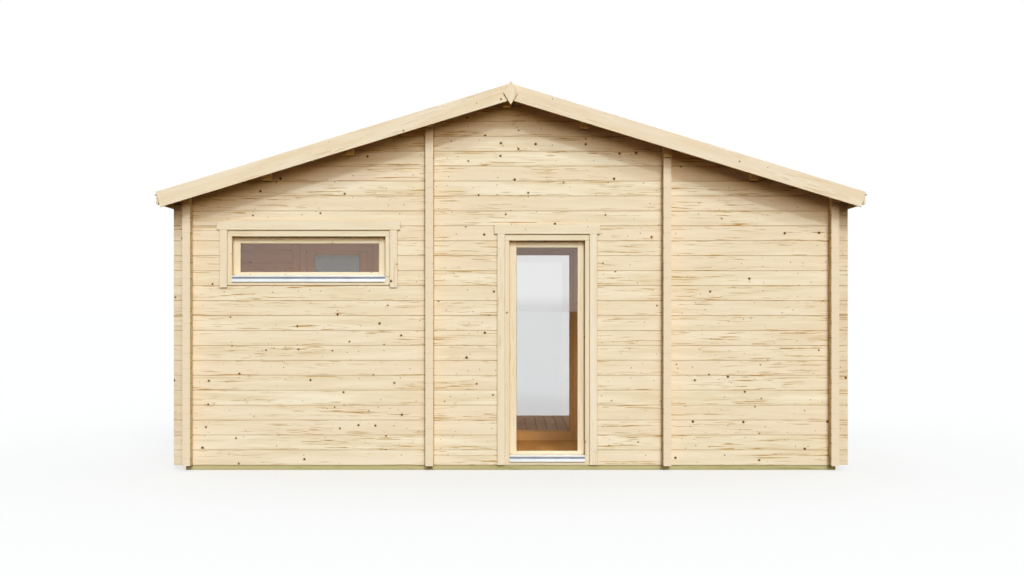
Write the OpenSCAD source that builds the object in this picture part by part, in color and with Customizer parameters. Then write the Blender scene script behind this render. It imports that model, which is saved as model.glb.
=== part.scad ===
// Sauna cabin: three log-walled rooms in a row, with a covered terrace in front of them.
// X runs along the gable walls, Y from the closed rear gable to the terrace, Z up from the ground.
// The origin is on the ground under the middle of the building.

/* [Log walls] */
// Width over the outer faces of the side walls
wall_width = 5890; // [4800:10:7200]
// Depth over the outer faces of the rear gable and the terrace gable
building_depth = 5700; // [4700:10:7000]
// Depth of the rooms over their outer faces
room_depth = 2070; // [1600:10:2600]
// Thickness of a log
log_t = 70; // [44:1:95]
// Height that one log adds to a wall
log_h = 135; // [110:1:160]
// Depth of the bevel along each long edge of a log
log_bevel = 4; // [2:0.5:8]
// How far the log ends run past a corner
log_end = 100; // [60:5:160]
// Whole and half log courses under the eave plate
side_courses = 17.5; // [15.5:1:21.5]
// Height of the eave plate at its outer face
plate_edge_h = 90; // [60:1:130]

/* [Partitions] */
// Place of the left partition's middle along X
left_partition_x = -731; // [-1100:1:-500]
// Place of the right partition's middle along X
right_partition_x = 1405; // [900:1:1600]
// Least height of the log that lies on top of a partition
partition_top_log = 60; // [40:1:90]

/* [Foundation and floors] */
// Height of the foundation beams
base_h = 45; // [35:1:100]
// Width of the foundation beams
beam_w = 70; // [45:1:120]
// How far the foundation beams stand back from the wall faces
beam_inset = 9; // [0:1:20]
// Height of the room floors over the underside of the walls
floor_rise = 39; // [30:1:60]
// Thickness of the floor boards
floor_t = 19; // [15:1:28]
// Width of the joists
joist_w = 45; // [35:1:70]
// Joists under each room
room_joists = 4; // [3:1:6]
// Joists under the terrace
deck_joists_n = 7; // [5:1:10]
// Thickness of the terrace boards
deck_t = 28; // [20:1:34]

/* [Roof] */
// Slope of the roof, in degrees
roof_angle = 17; // [12:0.5:24]
// Thickness of the roof boards
roof_board_t = 19; // [15:1:28]
// Thickness of the roofing felt
felt_t = 5; // [3:0.5:12]
// How far the roof runs out past each gable
gable_overhang = 320; // [150:10:500]
// How far the roof boards run out past the side walls
eave_overhang = 160; // [100:5:400]
// How far the felt runs out past the eave boards
felt_drip = 16; // [5:1:30]
// Height of a purlin
purlin_h = 118; // [90:1:170]
// How far the purlins and the eave plates run out past each gable
timber_end = 135; // [60:5:150]
// Width of a barge board, square to the slope
barge_w = 140; // [100:1:200]
// Thickness of the barge boards
barge_t = 20; // [16:1:28]
// How far the barge boards stand up over the felt
barge_upstand = 17; // [5:1:40]
// Height of an eave board
eave_board_h = 84; // [60:1:140]
// Thickness of an eave board
eave_board_t = 20; // [16:1:28]
// Width of the diamond board over a barge joint
finial_w = 130; // [90:1:200]
// Height of the diamond board over a barge joint
finial_h = 211; // [150:1:300]

/* [Terrace] */
// Width of a post
post_w = 95; // [70:1:140]
// Distance of the inner posts from the middle
post_x = 1000; // [850:5:1400]
// Courses from the underside of the walls to the terrace tie log
tie_courses = 17; // [16:1:20]

/* [Windows] */
// Width of the cut-out for the transom window
window_w = 1500; // [900:10:1560]
// Height of the transom window's cut-out over the underside of the wall
window_sill = 1620; // [1200:5:1700]
// Height of the cut-out for the transom window
window_h = 515; // [400:1:540]
// Sideways shift of the transom window from the middle of its room
window_shift = -6; // [-40:1:40]
// Width of the tall window's cut-out
tall_w = 799; // [700:1:1000]
// Sideways shift of the tall window from the middle of its room
tall_shift = -8; // [-40:1:40]
// Height of the cut-outs for the tall window and the doors
tall_h = 2098; // [1950:1:2130]
// Width of a frame member
frame_w = 52; // [40:1:70]
// Width of the head member of a window's frame
window_head_w = 65; // [45:1:80]
// Height of a window's sill member under its drip profile
sill_face_h = 28; // [20:1:45]
// Width of the side members of a window's sash
window_sash_w = 77; // [65:1:95]
// Width of the top member of a window's sash
window_top_w = 72; // [60:1:90]
// Width of the bottom member of a window's sash
window_bottom_w = 49; // [40:1:70]
// Thickness of a window's sash or a door leaf
sash_t = 42; // [38:1:44]
// Thickness of a glass pane
pane_t = 18; // [14:1:20]
// Width of the boards beside a window or a door
trim_w = 68; // [50:1:90]
// Thickness of the boards round a window or a door
trim_t = 18; // [14:1:24]
// Height of the board over a window or a door
head_board_h = 84; // [70:1:120]
// Height of the aluminium drip profile
drip_h = 60; // [50:1:70]

/* [Doors] */
// Width of a door's cut-out
door_w = 799; // [780:1:900]
// Height of the sill member of a door's frame
sill_h = 36; // [25:1:50]
// Width of the stiles of the middle door and of the top rail of every door
sash_w = 57; // [50:1:80]
// Width of the bottom rail of the middle door
sash_bottom_w = 92; // [70:1:110]
// Width of the stiles of a side door
stile_w = 102; // [80:1:130]
// Width of the bottom rail of a side door
door_bottom_w = 200; // [120:1:300]
// Height of a door handle over the floor
handle_rise = 1010; // [900:5:1100]
// Diameter of a hinge barrel
hinge_d = 14; // [12:1:18]
// Length of a hinge barrel, both halves together
hinge_len = 90; // [70:1:120]

/* [Hidden] */
$fn = 32;
half_w = wall_width / 2;
half_d = building_depth / 2;
wall_end = half_w + log_end;
inner_w = half_w - log_t;
slope = tan(roof_angle);
tiny = 1;
seat_gap = 0.3;

// Heights over the ground
side_top = base_h + side_courses * log_h;
tie_bottom = base_h + tie_courses * log_h;
side_beam_bottom = side_top - log_h;
ridge_under = side_top + plate_edge_h + slope * half_w;
roof_rise_v = roof_board_t / cos(roof_angle);
felt_rise_v = felt_t / cos(roof_angle);
felt_under = ridge_under + roof_rise_v + seat_gap;
barge_top = felt_under + felt_rise_v + barge_upstand;
floor_top = base_h + floor_rise;
deck_top = base_h + deck_t;

// Places along Y
rear_out = -half_d;
rear_in = rear_out + log_t;
front_out = rear_out + room_depth;
front_in = front_out - log_t;
terrace_out = half_d;
terrace_in = terrace_out - log_t;
roof_y = half_d + gable_overhang;
timber_y = half_d + timber_end;

// Rooms, as the pair of inner faces along X
left_room = [-inner_w, left_partition_x - log_t / 2];
middle_room = [left_partition_x + log_t / 2, right_partition_x - log_t / 2];
right_room = [right_partition_x + log_t / 2, inner_w];
rooms = [left_room, middle_room, right_room];
function middle_of(room) = (room[0] + room[1]) / 2;
window_x = middle_of(left_room) + window_shift;
tall_x = middle_of(middle_room) + tall_shift;
door_xs = [middle_of(left_room), middle_of(middle_room), middle_of(right_room)];

// Height of the roof boards' underside at a place along X
function under_roof(x) = ridge_under - slope * abs(x);

// Height of the top of a log or timber that the roof boards lie on
function timber_top(x) = under_roof(x) - seat_gap;

// Highest joint of a wall along Y that leaves room for the top log under the roof
function partition_top(x) =
    base_h + (floor((under_roof(x) - partition_top_log - base_h) / log_h - 0.5) + 0.5) * log_h;
left_partition_top = partition_top(left_partition_x);
right_partition_top = partition_top(right_partition_x);

// Purlins stand at about a third and two thirds of the wide rooms, and half way over the narrow one
left_axis = -half_w + log_t / 2;
right_axis = half_w - log_t / 2;
function between(a, b, share) = a + (b - a) * share;
purlin_xs = [
    between(left_axis, left_partition_x, 0.332),
    between(left_axis, left_partition_x, 0.674),
    between(left_partition_x, right_partition_x, 0.325),
    between(left_partition_x, right_partition_x, 0.651),
    between(right_partition_x, right_axis, 0.516)
];

// Fits
fit = 5;
leaf_gap = 10;
sill_gap = 12;
stop_lap = 12;
leaf_clear = 5;
floor_gap = 2;
glass_lap = 12;
glass_front = 14;
trim_cover = 16;
head_cover = 7;
head_overhang = 26;
above = 10;
barge_joint = 1;
finial_drop = 12;

// Drip profile: its nose, the face over it and the slope between them
drip_nose = 16;
drip_nose_h = 26;
drip_face = 9;
drip_face_foot = 34;
drip_top_edge = 6;
drip_flange = 5;

// Hinges
pin_d = hinge_d / 2;
pin_clear = 0.3;
pin_tip_clear = 1;
barrel_gap = 1;
barrel_cap = 3;
plate_t = 2;
leaf_plate_w = 32;
frame_plate_clear = 4;
hinge_inset = 180;

// Bar handles
pull_d = 20;
pull_len = 300;
pull_reach = 45;
post_d = 14;
post_inset = 40;
rose_d = 28;
rose_t = 4;
middle_pull_x = 32.5;

// ---- Shapes used by several pieces ----

// A box between two corners
module block(low, high) {
    translate(low) cube(high - low);
}

// A flat outline in X and Z, drawn out along Y
module along_y(y0, y1) {
    translate([0, y1, 0]) rotate([90, 0, 0]) linear_extrude(height = y1 - y0) children();
}

// A flat outline in Y and Z, drawn out along X
module along_x(x0, x1) {
    translate([x0, 0, 0]) rotate([90, 0, 90]) linear_extrude(height = x1 - x0) children();
}

// Cross-section of a stack of logs, with a bevelled joint every log height
module log_stack(z0, z1, first_joint) {
    n = floor((z1 - log_bevel - first_joint) / log_h);
    joints = [for (i = [0 : n]) first_joint + i * log_h];
    near = [for (z = joints) each [[0, z - log_bevel], [log_bevel, z], [0, z + log_bevel]]];
    back = [for (i = [n : -1 : 0]) let (z = joints[i])
        each [[log_t, z + log_bevel], [log_t - log_bevel, z], [log_t, z - log_bevel]]];
    polygon(concat([[0, z0]], near, [[0, z1], [log_t, z1]], back, [[log_t, z0]]));
}

// A log wall along X between two faces, cut to the slope of the roof
module gable_logs(y0, z0) {
    intersection() {
        along_x(-wall_end, wall_end) translate([y0, 0])
            log_stack(z0, ridge_under, base_h + ceil((z0 - base_h) / log_h + 0.5) * log_h);
        along_y(y0 - tiny, y0 + log_t + tiny) polygon([
            [-wall_end, z0], [wall_end, z0], [wall_end, timber_top(wall_end)],
            [0, timber_top(0)], [-wall_end, timber_top(wall_end)]
        ]);
    }
}

// A log wall along Y, standing on the foundation, with its joints half a log higher
module side_logs(x, y0, y1, z1) {
    along_y(y0, y1) translate([x - log_t / 2, 0]) log_stack(base_h, z1, base_h + log_h / 2);
}

// A log wall between the rear and front walls, with its log ends outside both
module crossing_logs(x, z1, front_end_z1) {
    side_logs(x, rear_out - log_end, rear_out, z1);
    side_logs(x, rear_in, front_in, z1);
    side_logs(x, front_out, front_out + log_end, front_end_z1);
}

// Outline of a roof timber along Y, from its underside up to the roof boards or a little over them
module timber_outline(x, z0, over) {
    left = x - log_t / 2;
    right = x + log_t / 2;
    apex = left < 0 && right > 0 ? [[0, timber_top(0) + over]] : [];
    polygon(concat(
        [[left, z0], [right, z0], [right, timber_top(right) + over]], apex,
        [[left, timber_top(left) + over]]
    ));
}

module purlin_timbers(y0, y1, over) {
    for (x = purlin_xs) along_y(y0, y1) timber_outline(x, under_roof(x) - purlin_h, over);
    along_y(y0, y1) timber_outline(left_partition_x, left_partition_top, over);
    along_y(y0, y1) timber_outline(right_partition_x, right_partition_top, over);
}

module plate_timbers(y0, y1, over) {
    along_y(y0, y1) timber_outline(left_axis, side_top, over);
    along_y(y0, y1) timber_outline(right_axis, side_top, over);
}

// The notches that the roof timbers need in a log wall
module timber_notches(y0) {
    purlin_timbers(y0 - tiny, y0 + log_t + tiny, above);
    plate_timbers(y0 - tiny, y0 + log_t + tiny, above);
}

// Places a window or door unit: X from the unit's middle, Y inwards from the wall's outer face,
// Z from the underside of the wall
module in_rear_wall(x) {
    translate([x, rear_out, base_h]) children();
}

module in_front_wall(x) {
    translate([x, front_out, base_h]) mirror([0, 1, 0]) children();
}

// A window's frame: a plain ring as deep as the wall
module window_frame(w, z0, z1) {
    x = w / 2 - fit;
    difference() {
        block([-x, 0, frame_foot(z0)], [x, log_t, z1 - fit]);
        block(
            [frame_w - x, -tiny, window_sill_top(z0)],
            [x - frame_w, log_t + tiny, z1 - fit - window_head_w]
        );
    }
}

// The sash closes against the inner face of its frame
function frame_foot(z0) = z0 == 0 ? z0 : z0 + fit;
function window_sill_top(z0) = frame_foot(z0) + sill_face_h + drip_h - drip_flange;
function sash_x(w) = w / 2 - fit - frame_w + stop_lap;
function sash_low(z0) = window_sill_top(z0) - stop_lap;
function sash_high(z1) = z1 - fit - window_head_w + stop_lap;

// A door's frame, with a step that the leaf closes against
module door_frame() {
    x = door_w / 2 - fit;
    high = tall_h - fit;
    step = sash_t + leaf_clear;
    lap = leaf_gap + stop_lap;
    difference() {
        block([-x, 0, 0], [x, log_t, high]);
        block([frame_w - x, -tiny, sill_h], [x - frame_w, step, high - frame_w]);
        block(
            [frame_w + lap - x, step - tiny, leaf_low + stop_lap],
            [x - frame_w - lap, log_t + tiny, high - frame_w - lap]
        );
    }
}

leaf_x = door_w / 2 - fit - frame_w - leaf_gap;
leaf_low = sill_h + sill_gap;
leaf_high = tall_h - fit - frame_w - leaf_gap;

// A glazed sash or leaf, with a step that holds the pane
module glazed_leaf(x, low, high, side, top, bottom, y0) {
    difference() {
        block([-x, y0, low], [x, y0 + sash_t, high]);
        block([side - x, y0 - tiny, low + bottom], [x - side, y0 + sash_t + tiny, high - top]);
        block(
            [side - glass_lap - x, y0 + glass_front, low + bottom - glass_lap],
            [x - side + glass_lap, y0 + sash_t + tiny, high - top + glass_lap]
        );
    }
}

// The pane that lies in the step of a glazed leaf
module glass_pane(x, low, high, side, top, bottom, y0) {
    edge = x - side + glass_lap;
    block(
        [-edge, y0 + glass_front, low + bottom - glass_lap],
        [edge, y0 + glass_front + pane_t, high - top + glass_lap]
    );
}

module window_sash(w, z0, z1) {
    glazed_leaf(
        sash_x(w), sash_low(z0), sash_high(z1), window_sash_w, window_top_w, window_bottom_w, log_t
    );
}

module window_pane(w, z0, z1) {
    glass_pane(
        sash_x(w), sash_low(z0), sash_high(z1), window_sash_w, window_top_w, window_bottom_w, log_t
    );
}

// Boards at both sides and over the head of a cut-out, on one face of the wall
module trim_boards(w, foot, z1, y0) {
    x = w / 2 - trim_cover;
    head = z1 - fit - head_cover;
    for (side = [-1, 1])
        block(
            [side > 0 ? x : -x - trim_w, y0, foot],
            [side > 0 ? x + trim_w : -x, y0 + trim_t, head + tiny]
        );
    block(
        [-x - trim_w - head_overhang, y0, head],
        [x + trim_w + head_overhang, y0 + trim_t, head + head_board_h]
    );
}

// Aluminium profile over a window's sill: its face, and the flange that covers the sill's top
module drip_profile(w, z0) {
    low = frame_foot(z0) + sill_face_h;
    high = low + drip_h;
    x = w / 2 - fit - frame_w - tiny;
    along_x(-x, x) polygon([
        [0, low], [-drip_nose, low], [-drip_nose, low + drip_nose_h],
        [-drip_face, low + drip_face_foot], [-drip_face, high - drip_top_edge], [-drip_top_edge, high],
        [log_t, high], [log_t, window_sill_top(z0)], [0, window_sill_top(z0)]
    ]);
}

// ---- Foundation and floors ----

module foundation_cross_beams() {
    color("darkkhaki")
        for (y0 = [rear_out + beam_inset, front_in, terrace_out - beam_inset - beam_w])
            block([beam_inset - half_w, y0, 0], [half_w - beam_inset, y0 + beam_w, base_h]);
}

module foundation_long_beams() {
    rear_face = rear_out + beam_inset + beam_w;
    front_face = terrace_out - beam_inset - beam_w;
    outer = half_w - beam_inset;
    color("darkkhaki") {
        for (span = [[rear_face, front_in], [front_in + beam_w, front_face]], side = [-1, 1])
            block(
                [side > 0 ? outer - beam_w : -outer, span[0], 0],
                [side > 0 ? outer : beam_w - outer, span[1], base_h]
            );
        for (x = [left_partition_x, right_partition_x])
            block([x - beam_w / 2, rear_face, 0], [x + beam_w / 2, front_in, base_h]);
    }
}

module room_joist_bars() {
    near = rear_in + beam_inset;
    step = (front_in - near - joist_w) / (room_joists - 1);
    for (room = rooms, i = [0 : room_joists - 1])
        block(
            [room[0] + beam_inset, near + i * step, 0],
            [room[1] - beam_inset, near + i * step + joist_w, floor_top - floor_t]
        );
}

module deck_joist_bars() {
    near = front_in + beam_w;
    far = terrace_out - beam_inset - beam_w;
    step = (far - near - joist_w) / (deck_joists_n + 1);
    x = half_w - beam_inset - beam_w;
    for (i = [1 : deck_joists_n])
        block([-x, near + i * step, 0], [x, near + i * step + joist_w, base_h]);
}

module joists() {
    color("darkkhaki") {
        room_joist_bars();
        deck_joist_bars();
    }
}

module floor_boards() {
    color("burlywood")
        for (room = rooms)
            block(
                [room[0] + floor_gap, rear_in + floor_gap, floor_top - floor_t],
                [room[1] - floor_gap, front_in - floor_gap, floor_top]
            );
}

module deck_boards() {
    color("peru") difference() {
        block([-half_w, front_out + floor_gap, base_h], [half_w, terrace_out, deck_top]);
        for (x = [left_axis, left_partition_x, right_partition_x, right_axis])
            block(
                [x - log_t / 2 - floor_gap, front_out - tiny, base_h - tiny],
                [x + log_t / 2 + floor_gap, front_out + log_end + floor_gap, deck_top + tiny]
            );
    }
}

// ---- Log walls ----

module rear_gable_wall() {
    color("wheat") difference() {
        gable_logs(rear_out, base_h);
        timber_notches(rear_out);
        in_rear_wall(window_x)
            block([-window_w / 2, -tiny, window_sill], [window_w / 2, log_t + tiny, window_sill + window_h]);
        in_rear_wall(tall_x)
            block([-tall_w / 2, -tiny, -tiny], [tall_w / 2, log_t + tiny, tall_h]);
    }
}

module front_wall_piers() {
    color("wheat") difference() {
        intersection() {
            gable_logs(front_in, base_h);
            block([-wall_end, front_in, base_h], [wall_end, front_out, base_h + tall_h]);
        }
        for (x = door_xs)
            block(
                [x - door_w / 2, front_in - tiny, 0],
                [x + door_w / 2, front_out + tiny, base_h + tall_h + tiny]
            );
    }
}

module front_wall_gable() {
    color("wheat") difference() {
        gable_logs(front_in, base_h);
        block([-wall_end - tiny, front_in - tiny, 0], [wall_end + tiny, front_out + tiny, base_h + tall_h]);
        timber_notches(front_in);
    }
}

module left_side_wall() {
    color("wheat") crossing_logs(left_axis, side_top, side_beam_bottom);
}

module right_side_wall() {
    color("wheat") crossing_logs(right_axis, side_top, side_beam_bottom);
}

module left_partition() {
    color("wheat") crossing_logs(left_partition_x, left_partition_top, left_partition_top);
}

module right_partition() {
    color("wheat") crossing_logs(right_partition_x, right_partition_top, right_partition_top);
}

// ---- Terrace ----

module terrace_posts() {
    color("wheat") for (side = [-1, 1]) {
        block(
            [side > 0 ? half_w - post_w : -half_w, terrace_out - post_w, deck_top],
            [side > 0 ? half_w : post_w - half_w, terrace_out, side_beam_bottom]
        );
        block(
            [side * post_x - post_w / 2, terrace_out - post_w, deck_top],
            [side * post_x + post_w / 2, terrace_out, tie_bottom]
        );
    }
}

module terrace_side_beams() {
    color("wheat") for (x = [left_axis, right_axis]) difference() {
        block(
            [x - log_t / 2, front_out, side_beam_bottom],
            [x + log_t / 2, terrace_out + log_end, side_top]
        );
        block([x - log_t, terrace_in, tie_bottom], [x + log_t, terrace_out, side_top + tiny]);
    }
}

module terrace_gable() {
    color("wheat") difference() {
        gable_logs(terrace_in, tie_bottom);
        timber_notches(terrace_in);
    }
}

// ---- Roof ----

module purlins() {
    color("tan") purlin_timbers(-timber_y, timber_y, 0);
}

module eave_plates() {
    color("tan") plate_timbers(-timber_y, timber_y, 0);
}

// Sloping layer on the right half of the roof, from the ridge to a place along X
module roof_layer(bottom, rise, edge) {
    along_y(-roof_y, roof_y) polygon([
        [0, bottom], [edge, bottom - slope * edge],
        [edge, bottom + rise - slope * edge], [0, bottom + rise]
    ]);
}

module right_half_boards() {
    roof_layer(ridge_under, roof_rise_v, half_w + eave_overhang);
}

module right_half_felt() {
    roof_layer(felt_under, felt_rise_v, half_w + eave_overhang + eave_board_t + felt_drip);
}

module left_roof_boards() {
    color("burlywood") mirror([1, 0, 0]) right_half_boards();
}

module right_roof_boards() {
    color("burlywood") right_half_boards();
}

module left_roof_felt() {
    color("dimgray") mirror([1, 0, 0]) right_half_felt();
}

module right_roof_felt() {
    color("dimgray") right_half_felt();
}

// A pair of barge boards with a plumb joint at the ridge and square-cut feet
module barge_pair(y0) {
    foot = half_w + eave_overhang + eave_board_t;
    foot_z = barge_top - slope * foot;
    lap = barge_joint / 2;
    for (side = [0, 1]) mirror([side, 0, 0]) along_y(y0, y0 + barge_t) polygon([
        [lap, barge_top - slope * lap],
        [lap, barge_top - slope * lap - barge_w / cos(roof_angle)],
        [foot - barge_w * sin(roof_angle), foot_z - barge_w * cos(roof_angle)],
        [foot, foot_z]
    ]);
}

module rear_barge_boards() {
    color("wheat") barge_pair(-roof_y - barge_t);
}

module front_barge_boards() {
    color("wheat") barge_pair(roof_y);
}

module finials() {
    z = barge_top - barge_w / cos(roof_angle) / 2 - finial_drop;
    color("wheat") for (y0 = [-roof_y - 2 * barge_t, roof_y + barge_t])
        along_y(y0, y0 + barge_t) polygon([
            [0, z - finial_h / 2], [finial_w / 2, z], [0, z + finial_h / 2], [-finial_w / 2, z]
        ]);
}

module eave_boards() {
    inner = half_w + eave_overhang;
    outer = inner + eave_board_t;
    top = ridge_under + roof_rise_v;
    color("wheat") for (side = [0, 1]) mirror([side, 0, 0])
        along_y(-roof_y, roof_y) polygon([
            [inner, top - slope * outer - eave_board_h], [outer, top - slope * outer - eave_board_h],
            [outer, top - slope * outer], [inner, top - slope * inner]
        ]);
}

// ---- Windows in the rear wall ----

module window_frames() {
    color("navajowhite") {
        in_rear_wall(window_x) window_frame(window_w, window_sill, window_sill + window_h);
        in_rear_wall(tall_x) window_frame(tall_w, 0, tall_h);
    }
}

module window_sashes() {
    color("blanchedalmond") {
        in_rear_wall(window_x) window_sash(window_w, window_sill, window_sill + window_h);
        in_rear_wall(tall_x) window_sash(tall_w, 0, tall_h);
    }
}

module window_panes() {
    color("lightblue", 0.5) {
        in_rear_wall(window_x) window_pane(window_w, window_sill, window_sill + window_h);
        in_rear_wall(tall_x) window_pane(tall_w, 0, tall_h);
    }
}

module window_drips() {
    color("silver") {
        in_rear_wall(window_x) drip_profile(window_w, window_sill);
        in_rear_wall(tall_x) drip_profile(tall_w, 0);
    }
}

module window_trims() {
    color("blanchedalmond") {
        for (y0 = [-trim_t, log_t]) {
            in_rear_wall(window_x)
                trim_boards(window_w, window_sill - trim_t, window_sill + window_h, y0);
            in_rear_wall(tall_x) trim_boards(tall_w, y0 < 0 ? 0 : floor_rise, tall_h, y0);
        }
    }
}

// ---- Doors in the front wall ----

module door_frames() {
    color("navajowhite") for (x = door_xs) in_front_wall(x) door_frame();
}

module door_trims() {
    color("blanchedalmond") for (x = door_xs, y0 = [-trim_t, log_t])
        in_front_wall(x) trim_boards(door_w, y0 < 0 ? deck_t : floor_rise, tall_h, y0);
}

hinge_x = leaf_x + leaf_gap / 2;
hinge_y = -hinge_d / 2;
hinge_zs = [leaf_low + hinge_inset, (leaf_low + leaf_high) / 2, leaf_high - hinge_inset];

// Lower half of a hinge, screwed to the frame, with the pin
module hinge_pin_half(z) {
    translate([hinge_x, hinge_y, z - hinge_len / 2]) {
        cylinder(d = hinge_d, h = (hinge_len - barrel_gap) / 2);
        cylinder(d = pin_d, h = hinge_len - barrel_cap - pin_tip_clear);
    }
    block(
        [hinge_x, -plate_t, z - hinge_len / 2],
        [hinge_x + leaf_gap / 2 + frame_w - trim_cover - frame_plate_clear, 0, z - barrel_gap / 2]
    );
}

// Upper half of a hinge, screwed to the leaf, bored for the pin
module hinge_leaf_half(z) {
    foot = z + barrel_gap / 2;
    top = z + hinge_len / 2;
    difference() {
        union() {
            translate([hinge_x, hinge_y, foot]) cylinder(d = hinge_d, h = top - foot);
            block([hinge_x - leaf_gap / 2 - leaf_plate_w, -plate_t, foot], [hinge_x, 0, top]);
        }
        translate([hinge_x, hinge_y, foot - tiny])
            cylinder(d = pin_d + 2 * pin_clear, h = top - barrel_cap - foot + tiny);
    }
}

module door_hinge_pins() {
    color("silver") for (x = door_xs, z = hinge_zs) in_front_wall(x) hinge_pin_half(z);
}

module door_hinges(x) {
    color("silver") for (z = hinge_zs) in_front_wall(x) hinge_leaf_half(z);
}

// Upright bar on two posts, on one face of a leaf; out points away from the leaf
module bar_pull(x, y0, out) {
    z = floor_rise + handle_rise;
    translate([x, y0 + pull_reach * out, z - pull_len / 2]) cylinder(d = pull_d, h = pull_len);
    for (end = [-1, 1])
        translate([x, y0, z + end * (pull_len / 2 - post_inset)])
            rotate([out > 0 ? -90 : 90, 0, 0]) {
                cylinder(d = post_d, h = pull_reach);
                cylinder(d = rose_d, h = rose_t);
            }
}

module door_handle(x, from_edge) {
    color("gray") in_front_wall(x) {
        bar_pull(from_edge - leaf_x, 0, -1);
        bar_pull(from_edge - leaf_x, sash_t, 1);
    }
}

module side_door_leaf(x) {
    color("blanchedalmond") in_front_wall(x)
        glazed_leaf(leaf_x, leaf_low, leaf_high, stile_w, sash_w, door_bottom_w, 0);
}

module side_door_pane(x) {
    color("gray", 0.5) in_front_wall(x)
        glass_pane(leaf_x, leaf_low, leaf_high, stile_w, sash_w, door_bottom_w, 0);
}

module left_door_leaf() {
    side_door_leaf(door_xs[0]);
}

module left_door_pane() {
    side_door_pane(door_xs[0]);
}

module left_door_handle() {
    door_handle(door_xs[0], stile_w / 2);
}

module left_door_hinges() {
    door_hinges(door_xs[0]);
}

module middle_door_leaf() {
    color("blanchedalmond") in_front_wall(door_xs[1])
        glazed_leaf(leaf_x, leaf_low, leaf_high, sash_w, sash_w, sash_bottom_w, 0);
}

module middle_door_pane() {
    color("lightblue", 0.5) in_front_wall(door_xs[1])
        glass_pane(leaf_x, leaf_low, leaf_high, sash_w, sash_w, sash_bottom_w, 0);
}

module middle_door_handle() {
    door_handle(door_xs[1], middle_pull_x);
}

module middle_door_hinges() {
    door_hinges(door_xs[1]);
}

module right_door_leaf() {
    side_door_leaf(door_xs[2]);
}

module right_door_pane() {
    side_door_pane(door_xs[2]);
}

module right_door_handle() {
    door_handle(door_xs[2], stile_w / 2);
}

module right_door_hinges() {
    door_hinges(door_xs[2]);
}

foundation_cross_beams();
foundation_long_beams();
joists();
floor_boards();
deck_boards();
rear_gable_wall();
front_wall_piers();
front_wall_gable();
left_side_wall();
right_side_wall();
left_partition();
right_partition();
terrace_posts();
terrace_side_beams();
terrace_gable();
purlins();
eave_plates();
left_roof_boards();
right_roof_boards();
left_roof_felt();
right_roof_felt();
rear_barge_boards();
front_barge_boards();
finials();
eave_boards();
window_frames();
window_sashes();
window_panes();
window_drips();
window_trims();
door_frames();
door_trims();
door_hinge_pins();
left_door_leaf();
left_door_pane();
left_door_handle();
left_door_hinges();
middle_door_leaf();
middle_door_pane();
middle_door_handle();
middle_door_hinges();
right_door_leaf();
right_door_pane();
right_door_handle();
right_door_hinges();
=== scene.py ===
"""Looks of a log-walled sauna cabin: its timber, roofing, glazing, ironmongery, light and camera.

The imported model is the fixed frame. The log walls, posts and beams keep its shapes and get their
timber here. Boards, sashes, door leaves, glazing, roofing felt and ironmongery are modelled over it.
All places are in metres: X along the gable walls, Y from the rear gable to the terrace, Z up.
"""

import logging
import math
import random
from contextlib import contextmanager
from dataclasses import dataclass, field
from enum import Enum
from typing import Callable, Iterable, Iterator, Sequence

import bpy
from mathutils import Matrix, Vector

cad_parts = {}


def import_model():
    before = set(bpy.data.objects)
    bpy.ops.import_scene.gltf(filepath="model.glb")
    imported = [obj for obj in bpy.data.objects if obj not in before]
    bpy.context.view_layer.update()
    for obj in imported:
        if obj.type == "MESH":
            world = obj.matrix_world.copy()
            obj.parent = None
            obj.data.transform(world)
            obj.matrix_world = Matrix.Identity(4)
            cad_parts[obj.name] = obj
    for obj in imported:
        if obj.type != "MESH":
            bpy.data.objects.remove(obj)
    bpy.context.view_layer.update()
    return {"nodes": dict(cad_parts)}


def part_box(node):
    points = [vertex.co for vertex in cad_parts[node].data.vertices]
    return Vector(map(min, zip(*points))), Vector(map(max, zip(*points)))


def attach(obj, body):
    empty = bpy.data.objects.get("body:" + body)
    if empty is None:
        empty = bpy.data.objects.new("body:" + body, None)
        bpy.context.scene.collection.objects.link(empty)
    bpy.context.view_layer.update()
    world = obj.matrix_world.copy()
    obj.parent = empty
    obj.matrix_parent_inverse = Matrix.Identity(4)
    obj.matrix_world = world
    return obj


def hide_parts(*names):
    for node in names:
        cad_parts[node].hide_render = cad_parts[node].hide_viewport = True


log = logging.getLogger("sauna_cabin")

Socket = bpy.types.NodeSocket
Piece = bpy.types.Object
Colour = tuple[float, float, float, float]
Corner = Sequence[float]
Test = Callable[[Vector], bool]
WHITE: Colour = (1.0, 1.0, 1.0, 1.0)
ACROSS, INWARD, UPRIGHT = (1, 0, 0), (0, 1, 0), (0, 0, 1)
BOTH_SIDES = (-1, 1)


def linear(hex_colour: str) -> Colour:
    """Turns an sRGB colour into the linear one that a shader takes.

    Args:
        hex_colour: Six hex digits, red first.

    Returns:
        Red, green, blue and a full alpha.
    """
    parts = [int(hex_colour[i:i + 2], 16) / 255 for i in (0, 2, 4)]
    return (*(p / 12.92 if p <= 0.04045 else ((p + 0.055) / 1.055) ** 2.4 for p in parts), 1.0)


class Grain(Enum):
    """The way the fibres of a timber run, as its axes along, across and through, or its own data."""

    ALONG_X = (0, 2, 1)
    ALONG_Y = (1, 2, 0)
    ALONG_Z = (2, 0, 1)
    OWN = ()


class Wall(Enum):
    """A log wall that holds windows or doors."""

    REAR = "rear"
    FRONT = "front"


class Hand(Enum):
    """The left or right half of the roof, as the sign of its places along X."""

    LEFT = -1
    RIGHT = 1


# ---------------------------------------------------------------------------- finishes


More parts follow.
